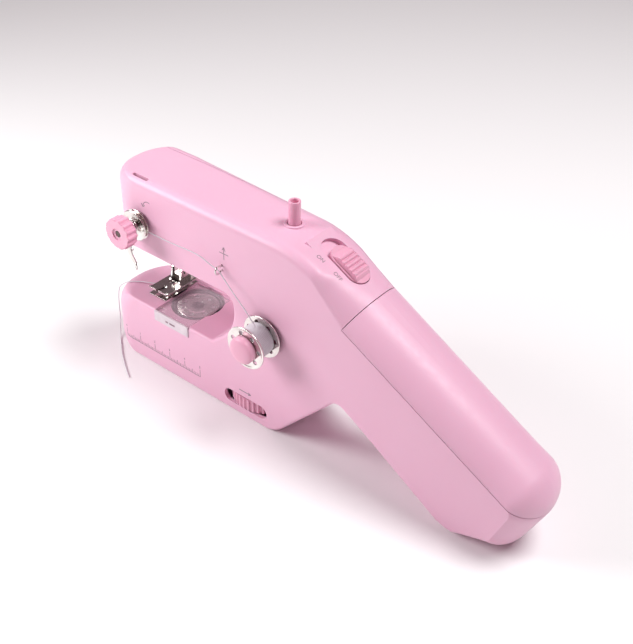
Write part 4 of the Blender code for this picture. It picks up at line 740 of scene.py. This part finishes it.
def make_front_parts():
    def at(y):
        return (TENSION_X, -HALF - y, TENSION_Z)
    bore = 1.7 * MM
    shape = soft_profile([(bore, 0), (bore, 0.45 * MM), (4.4 * MM, 0.45 * MM), (5.2 * MM, 0.75 * MM),
                          (7.1 * MM, 1.1 * MM), (7.5 * MM, 0.75 * MM), (5.4 * MM, 0.3 * MM), (4.6 * MM, 0)],
                         0.2 * MM)
    put(finish_mesh(turned("rear_disc", [(r, -h) for r, h in shape], at(2.4 * MM), -Y, steel)),
        "case", "polished_steel", "rear_tension_disc")
    put(finish_mesh(turned("front_disc", shape, at(2.55 * MM), -Y, steel)),
        "case", "polished_steel", "front_tension_disc")
    coil = coil_points(at(4.7 * MM), -Y, (4.0 * MM, 2.9 * MM), 2.7 * MM, 3, 40)
    put(wire("conical_spring", coil, 0.33 * MM, steel), "case", "polished_steel", "tension_spring")
    knob = knurled("dial", at(8 * MM), -Y, 7.5 * MM, 5.6 * MM, 14, 0.8 * MM, trim_pink, 0.55 * MM)
    cut(knob, rod("dial_bore", at(6 * MM), -Y, 12 * MM, bore, None, 40))
    cut(knob, rod("dial_dish", at(13 * MM), -Y, 3 * MM, 2.8 * MM, None, 48, 0, 3.6 * MM))
    put(finish_mesh(knob, 40), "tension_dial", "trim_plastic", "tension_knob")

    def spindle_at(y):
        return (SPINDLE_X, -HALF - y, SPINDLE_Z)
    dome = [(3 * MM, 0), (3 * MM, 1.6 * MM), (0.05 * MM, 1.6 * MM), (0.05 * MM, 4.1 * MM)]
    dome += [(6.3 * MM * math.sin(math.radians(a)) ** 0.8,
              2.1 * MM + 2 * MM * math.cos(math.radians(a)) ** 0.7) for a in range(8, 90, 6)]
    dome += [(6.3 * MM, 1.6 * MM), (6.3 * MM, 0.2 * MM), (6.1 * MM, 0)]
    put(finish_mesh(turned("spindle_cap", dome, spindle_at(12.7 * MM), -Y, trim_pink), 50),
        "case", "trim_plastic", "bobbin_cap")
    put(wire("recess_spring", coil_points(spindle_at(-1.4 * MM), -Y, (6.6 * MM, 7.4 * MM), 2.2 * MM, 2.5, 48),
             0.45 * MM, dark_metal), "case", "dark_metal", "spindle_spring")
    foot, centre, r = -HALF + 1.2 * MM, -HALF - EYELET_REACH, EYELET_R
    turns = [math.radians(140 - 280 * i / 28) for i in range(29)]
    loop = [(EYELET_X, centre - r * math.cos(t), EYELET_Z + r * math.sin(t)) for t in turns]
    ends = r * math.sin(math.radians(140))
    loop = [(EYELET_X, foot, EYELET_Z + ends)] + loop + [(EYELET_X, foot, EYELET_Z - ends)]
    put(wire("guide_loop", loop, 0.4 * MM, steel), "case", "polished_steel", "thread_eyelet")
    wheel_r = HALF + SHAFT_Y + WHEEL_PROUD
    wheel = knurled("thumb_wheel", (SHAFT_X, SHAFT_Y, WHEEL_Z - WHEEL_THICK / 2), Z, wheel_r, WHEEL_THICK, 40,
                    0.7 * MM, trim_pink, 0.35 * MM)
    cut(wheel, rod("thumb_bore", (SHAFT_X, SHAFT_Y, 0), Z, 20 * MM, 2.3 * MM))
    put(finish_mesh(wheel, 40), "drive_shaft", "trim_plastic", "hand_wheel")


def make_pin_and_switch():
    low, ledge, top = ARM_TOP - WALL - 2.8 * MM, ARM_TOP - WALL - 0.9 * MM, ARM_TOP + 11 * MM
    profile = soft_profile([(0.05 * MM, low), (3.95 * MM, low), (3.95 * MM, ledge), (2.75 * MM, ledge),
                            (2.65 * MM, ARM_TOP + 2.2 * MM), (2.62 * MM, top), (1.75 * MM, top),
                            (1.7 * MM, top - 3 * MM), (0.05 * MM, top - 3 * MM)], 0.3 * MM)
    put(finish_mesh(turned("pin", profile, (PIN_X, PIN_Y, 0), Z, trim_pink)), "thread_pin", "trim_plastic",
        "spool_pin")
    long, half = 19.5 * MM, 5.6 * MM
    end = -7.8 * MM
    base = stadium(end - long / 2, 0, long, 2 * half, 24)
    slider = on_handle(prism("slider", base, -2.6 * MM, 0.6 * MM, 'Z', trim_pink, 0.45 * MM))
    crest = [(-25.4, -0.5), (-24.9, 0.7), (-23.6, 1.5), (-22.4, 1.9)]
    for i in range(5):
        s = -22 + 2.1 * i
        crest += [(s, 2.2), (s + 0.2, 2.75), (s + 0.6, 2.95), (s + 1.1, 2.9), (s + 1.5, 2.5), (s + 1.7, 2.1)]
    crest += [(-11.2, 2.0), (-10.3, 1.1), (-9.7, -0.5)]
    crown = prism("crest", [(s * MM, h * MM) for s, h in crest], -4.6 * MM, 4.6 * MM, 'Y', None, 0.3 * MM)
    join(slider, on_handle(crown))
    join(slider, on_handle(block("stem", (-20.8 * MM, -1.8 * MM, -6.6 * MM), (-17.2 * MM, 1.8 * MM, -MM))))
    put(finish_mesh(slider, 34), "power_switch", "trim_plastic", "switch_slider")


def make_presser_foot():
    """Pressed steel foot: flat sole with an upturned, forked toe, and two ears for the pin."""
    z, thick = BED_TOP + 2.7 * MM, 1.1 * MM
    front, rear = -10.5 * MM, 12 * MM
    left, right = NEEDLE_X - 5.7 * MM, NEEDLE_X + 6 * MM
    lower = [(front, z + 1.3 * MM), (front + 0.9 * MM, z + 0.5 * MM), (front + 2.2 * MM, z), (rear - MM, z),
             (rear, z + 0.4 * MM)]
    upper = [(rear, z + thick), (front + 2.6 * MM, z + thick), (front + 1.2 * MM, z + thick + 0.5 * MM),
             (front, z + thick + 1.0 * MM)]
    foot = prism("foot", lower + upper, left, right, 'X', steel, 0.15 * MM)
    cut(foot, prism("needle_gap", stadium(NEEDLE_X, 0, 5 * MM, 2.2 * MM, 16), z - 2 * MM, z + 4 * MM, 'Z'))
    cut(foot, block("toe_gap", (NEEDLE_X - 0.8 * MM, front - MM, z - 2 * MM),
                    (NEEDLE_X + 0.8 * MM, -4.5 * MM, z + 4 * MM)))
    pin_y, pin_z = 5.6 * MM, BED_TOP + 8.6 * MM
    for i, x in enumerate((NEEDLE_X - 3.4 * MM, NEEDLE_X + 2.4 * MM)):
        lug = (arc(pin_y, pin_z, 2.9 * MM, 0, 180, 30)
               + [(pin_y - 3.4 * MM, z + thick + 1.6 * MM), (pin_y - 5 * MM, z + thick / 2),
                  (pin_y + 4 * MM, z + thick / 2), (pin_y + 2.9 * MM, z + thick + 1.6 * MM)])
        join(foot, prism(f"ear_{i}", lug, x, x + MM, 'X', None, 0.1 * MM))
    cut(foot, rod("ear_hole", (NEEDLE_X - 8 * MM, pin_y, pin_z), X, 16 * MM, 1.2 * MM, None, 40))
    put(finish_mesh(foot), "foot", "polished_steel", "presser_foot")


# ---- printed marks --------------------------------------------------------------------------------
INK_HIGH = 0.05 * MM


def drape(mesh, towards):
    """Lay a flat print on the case: its near side just proud of the surface, its far side just inside."""
    surface = bmesh.new()
    surface.from_mesh(bpy.data.objects["main_case"].data)
    tree = BVHTree.FromBMesh(surface)
    surface.free()
    middle = sum(vert.co.dot(towards) for vert in mesh.verts) / len(mesh.verts)
    for vert in mesh.verts:
        near = vert.co.dot(towards) < middle
        hit = tree.ray_cast(vert.co - towards * 30 * MM, towards)[0]
        if hit:
            vert.co = hit - towards * (INK_HIGH if near else -2 * INK_HIGH)


def bar_between(mesh, a, b, width):
    """Thin printed bar in the front plane between two (x, z) points."""
    a, b = Vector((a[0], 0, a[1])), Vector((b[0], 0, b[1]))
    side = (b - a).normalized().cross(Y) * width / 2
    corners = (a - side, b - side, b + side, a + side)
    verts = [mesh.verts.new(corner + Y * lift) for lift in (MM, -MM) for corner in corners]
    for face in ((0, 1, 2, 3), (7, 6, 5, 4), (0, 4, 5, 1), (1, 5, 6, 2), (2, 6, 7, 3), (3, 7, 4, 0)):
        mesh.faces.new([verts[i] for i in face])


def printed(name, bars, width):
    mesh = bmesh.new()
    for a, b in bars:
        bar_between(mesh, [c * MM for c in a], [c * MM for c in b], width * MM)
    drape(mesh, Y)
    put(from_bmesh(name, mesh, ink), "case", "black_plastic")


def words(name, text, size, matrix, towards):
    """Small printed word, laid on the case along one direction."""
    curve = bpy.data.curves.new(name, 'FONT')
    curve.body = text
    curve.size = size
    curve.extrude = MM
    curve.align_x = 'CENTER'
    curve.align_y = 'CENTER'
    outline = bpy.data.objects.new(name, curve)
    bpy.context.scene.collection.objects.link(outline)
    bpy.context.view_layer.update()
    mesh = bmesh.new()
    mesh.from_mesh(outline.to_mesh())
    bpy.data.objects.remove(outline, do_unlink=True)
    mesh.transform(matrix)
    drape(mesh, towards)
    put(from_bmesh(name, mesh, ink), "case", "black_plastic")


def make_prints():
    """Five-centimetre rule, arrows, a cross mark and the switch words; sizes here are in millimetres."""
    left, base, pitch = -33.4, 8.8, 10.16
    bars = []
    for i in range(51):
        x = left + i * pitch / 10
        tall = 4.4 if i % 10 == 0 else (2.4 if i % 5 == 0 else 1.5)
        bars.append(((x, base), (x, base + tall)))
        if i:
            bars.append(((x - pitch / 10 - 0.1, base), (x + 0.1, base)))
    printed("rule", bars, 0.2)
    upright = Matrix.Rotation(math.pi / 2, 4, 'X')
    for i in range(6):
        place = Vector(((left + i * pitch) * MM, -HALF, (base + 5.8) * MM))
        words(f"rule_number_{i}", str(i), 1.8 * MM, Matrix.Translation(place) @ upright, Y)
    printed("wheel_arrow", [((42.6, 15.2), (49.6, 15.2)), ((49.8, 15.2), (48.2, 15.9)),
                            ((49.8, 15.2), (48.2, 14.5))], 0.4)
    curve = [(-9.6 + 3.2 * math.cos(math.radians(a)), 90.6 + 3.6 * math.sin(math.radians(a)))
             for a in range(175, 60, -12)]
    x, z = curve[0]
    barbs = [(curve[0], (x - 0.9, z + 1.5)), (curve[0], (x + 1.3, z + 1.0))]
    printed("turn_arrow", list(zip(curve, curve[1:])) + barbs, 0.3)
    printed("cross_mark", [((33.4, 86.6), (38.6, 86.6)), ((36, 89.6), (36, 83.6)),
                           ((36, 89.8), (35.1, 88.2)), ((36, 89.8), (36.9, 88.2))], 0.3)
    for name, text, s in (("word_on", "ON", -26.5), ("word_off", "OFF", -16.5)):
        words(name, text, 2.6 * MM, handle_frame() @ Matrix.Translation((s * MM, -9.3 * MM, 0)), -OUT)


# ---- threads -----------------------------------------------------------------------------------------
def make_threads():
    """The taut thread over the arm's front and the loose one off the plate, with points in millimetres."""
    upper = [(59.4, -24.5, 63), (52.5, -23.4, 68), (45, -22.3, 72.7), (38.5, -21.2, 76.8), (34.8, -20.5, 78.9),
             (30, -20.5, 79.9), (25.5, -20.5, 81.3), (21, -20.5, 81.8), (14, -20.5, 81.5), (5, -20.5, 80.9),
             (-3, -20.5, 80.8), (-8.0, -20.48, 80.9)]
    run = smooth_route([[c * MM for c in p] for p in upper], 1.5 * MM)
    put(wire("taut_thread", run, THREAD_R, thread), "case", "white_thread", "upper_thread")
    tail = [(-19.5, -1.5, 36.9), (-24, -3.6, 36.5), (-28.5, -5.6, 36.4), (-33, -7.6, 36), (-37.5, -9.3, 34.8),
            (-41.3, -10.2, 32.4), (-44.6, -10.4, 28.6), (-46.5, -10, 22), (-47, -9.9, 15), (-47, -10, 8),
            (-46.2, -11.4, 2.4), (-43, -14.4, 0.5), (-37.5, -19, 0.4), (-31.4, -23.8, 0.4), (-24, -28.8, 0.4),
            (-16.3, -33.5, 0.4)]
    run = smooth_route([[c * MM for c in p] for p in tail], 1 * MM)
    loose = put(wire("loose_thread", run, THREAD_R, thread), "case", "white_thread", "thread_tail")


# ---- the clear bobbin cover ----------------------------------------------------------------------
def make_bobbin_cover():
    """Thin clear slide with a whitened front lip and two small marks on it."""
    top, thick, lip = BED_TOP + 0.1 * MM, 1.2 * MM, 5.5 * MM
    plate = block("cover_plate", (-COVER_HALF, -HALF + 0.5 * MM, top - thick),
                  (COVER_HALF, 11 * MM, top), clear, 0.2 * MM)
    put(finish_mesh(plate), "bobbin_lid", "clear_plastic", "bobbin_cover")
    front = block("cover_lip", (-COVER_HALF, -HALF - 0.6 * MM, BED_TOP - lip),
                  (COVER_HALF, -HALF + 0.45 * MM, top), frosted, 0.3 * MM)
    put(finish_mesh(front), "bobbin_lid", "clear_plastic")
    marks = bmesh.new()
    for x, wide in ((-2.6, 1.6), (0.9, 3.4)):
        size = Matrix.Diagonal((wide * MM, 0.3 * MM, 0.8 * MM, 1))
        place = Matrix.Translation((x * MM, -HALF - 0.55 * MM, 32 * MM))
        bmesh.ops.create_cube(marks, size=1, matrix=place @ size)
    put(from_bmesh("lip_marks", marks, ink), "bobbin_lid", "black_plastic")


# ---- finishes on the CAD's own pieces ------------------------------------------------------------
def finish_cad_nodes():
    finishes = {
        steel: ("needle_plate", "rotary_hook", "needle_bar", "needle_clamp", "needle", "foot_pin",
                "foot_holder", "presser_bar", "check_spring", "lower_thread_guide"),
        ground: ("case_screw_1", "case_screw_2", "case_screw_3", "case_screw_4", "feed_dog", "main_shaft",
                 "arm_shaft", "take_up_lever", "presser_spring", "motor", "motor_pinion"),
        dark_metal: ("tension_post",),
        natural: ("hook_gear", "idler_gear", "hook_drive_gear", "reduction_gear", "shaft_bevel", "arm_bevel",
                  "crank_disc"),
        black: ("bobbin_case", "switch_block"),
        lining: ("battery_tray",),
        trim_pink: ("bobbin_spindle", "presser_lifter"),
        brass: ("arm_bearing",),
        cell_skin: ("battery_cell_1", "battery_cell_2", "battery_cell_3", "battery_cell_4"),
    }
    for material, names in finishes.items():
        for name in names:
            data = frame["nodes"][name].data
            data.materials.clear()
            data.materials.append(material)
            data.shade_smooth()
            data.set_sharp_from_angle(angle=math.radians(30))


# ---- stage -------------------------------------------------------------------------------------------
def make_stage():
    make_floor()
    make_world()
    lamp("top_key", (0.42, 0.22, 0.92), (0.08, 0, 0.04), 0.5, 8.6)
    lamp("front_left", (-0.30, -0.30, 0.30), (0.0, 0, 0.06), 0.3, 2.3)
    make_camera()


def make_floor():
    """Plain pale floor, reaching well past the view."""
    half_size = 6
    material, _, shader = node_material("floor_white")
    shader.inputs["Base Color"].default_value = (0.93, 0.93, 0.93, 1)
    shader.inputs["Roughness"].default_value = 0.9
    shader.inputs["Specular IOR Level"].default_value = 0.1
    mesh = bmesh.new()
    bmesh.ops.create_grid(mesh, x_segments=1, y_segments=1, size=half_size)
    floor = from_bmesh("floor", mesh, material)
    floor.location.z = -0.05 * MM


def make_world():
    world = bpy.data.worlds.new("soft_white")
    bpy.context.scene.world = world
    world.use_nodes = True
    back = world.node_tree.nodes["Background"]
    back.inputs["Color"].default_value = (1.0, 0.72, 0.80, 1)
    back.inputs["Strength"].default_value = 0.17


def lamp(name, place, target, size, energy):
    """Round soft lamp aimed at a point."""
    data = bpy.data.lights.new(name, 'AREA')
    data.shape = 'DISK'
    data.size = size
    data.energy = energy
    obj = bpy.data.objects.new(name, data)
    bpy.context.scene.collection.objects.link(obj)
    place, target = Vector(place), Vector(target)
    obj.matrix_world = Matrix.Translation(place) @ facing(place - target)


def make_camera():
    """Camera at the fitted place and angle, looking down on the machine's front left."""
    camera = bpy.data.cameras.new("camera")
    camera.sensor_width = 36
    camera.lens = 58.39
    camera.shift_x = -0.0152
    camera.shift_y = -0.0068
    camera.clip_start = 0.01
    obj = bpy.data.objects.new("camera", camera)
    bpy.context.scene.collection.objects.link(obj)
    right, back_axis = Vector((0.781, 0.624, 0.026)), Vector((0.489, -0.637, 0.595)).normalized()
    up = back_axis.cross(right).normalized()
    turn = Matrix((up.cross(back_axis), up, back_axis)).transposed().to_4x4()
    obj.matrix_world = Matrix.Translation((0.2971, -0.2853, 0.3297)) @ turn
    bpy.context.scene.camera = obj


make_stage()
make_threads()
make_shells()
fine_bobbin("thread_bobbin_fine", (SPINDLE_X, -HALF - 1.4 * MM, SPINDLE_Z), -Y, 7.6 * MM, "thread_bobbin",
            ("front_bobbin", "front_bobbin_thread"))
fine_bobbin("lower_bobbin_fine", (0, 0, BED_TOP - 13.1 * MM), Z, 8.6 * MM, "lower_bobbin",
            ("bed_bobbin", "bed_bobbin_thread"))
make_front_parts()
make_pin_and_switch()
make_presser_foot()
make_bobbin_cover()
finish_cad_nodes()
make_prints()
for helper in helpers:
    bpy.data.objects.remove(helper, do_unlink=True)
bpy.context.scene.view_settings.view_transform = 'Standard'

bpy.context.view_layer.update()
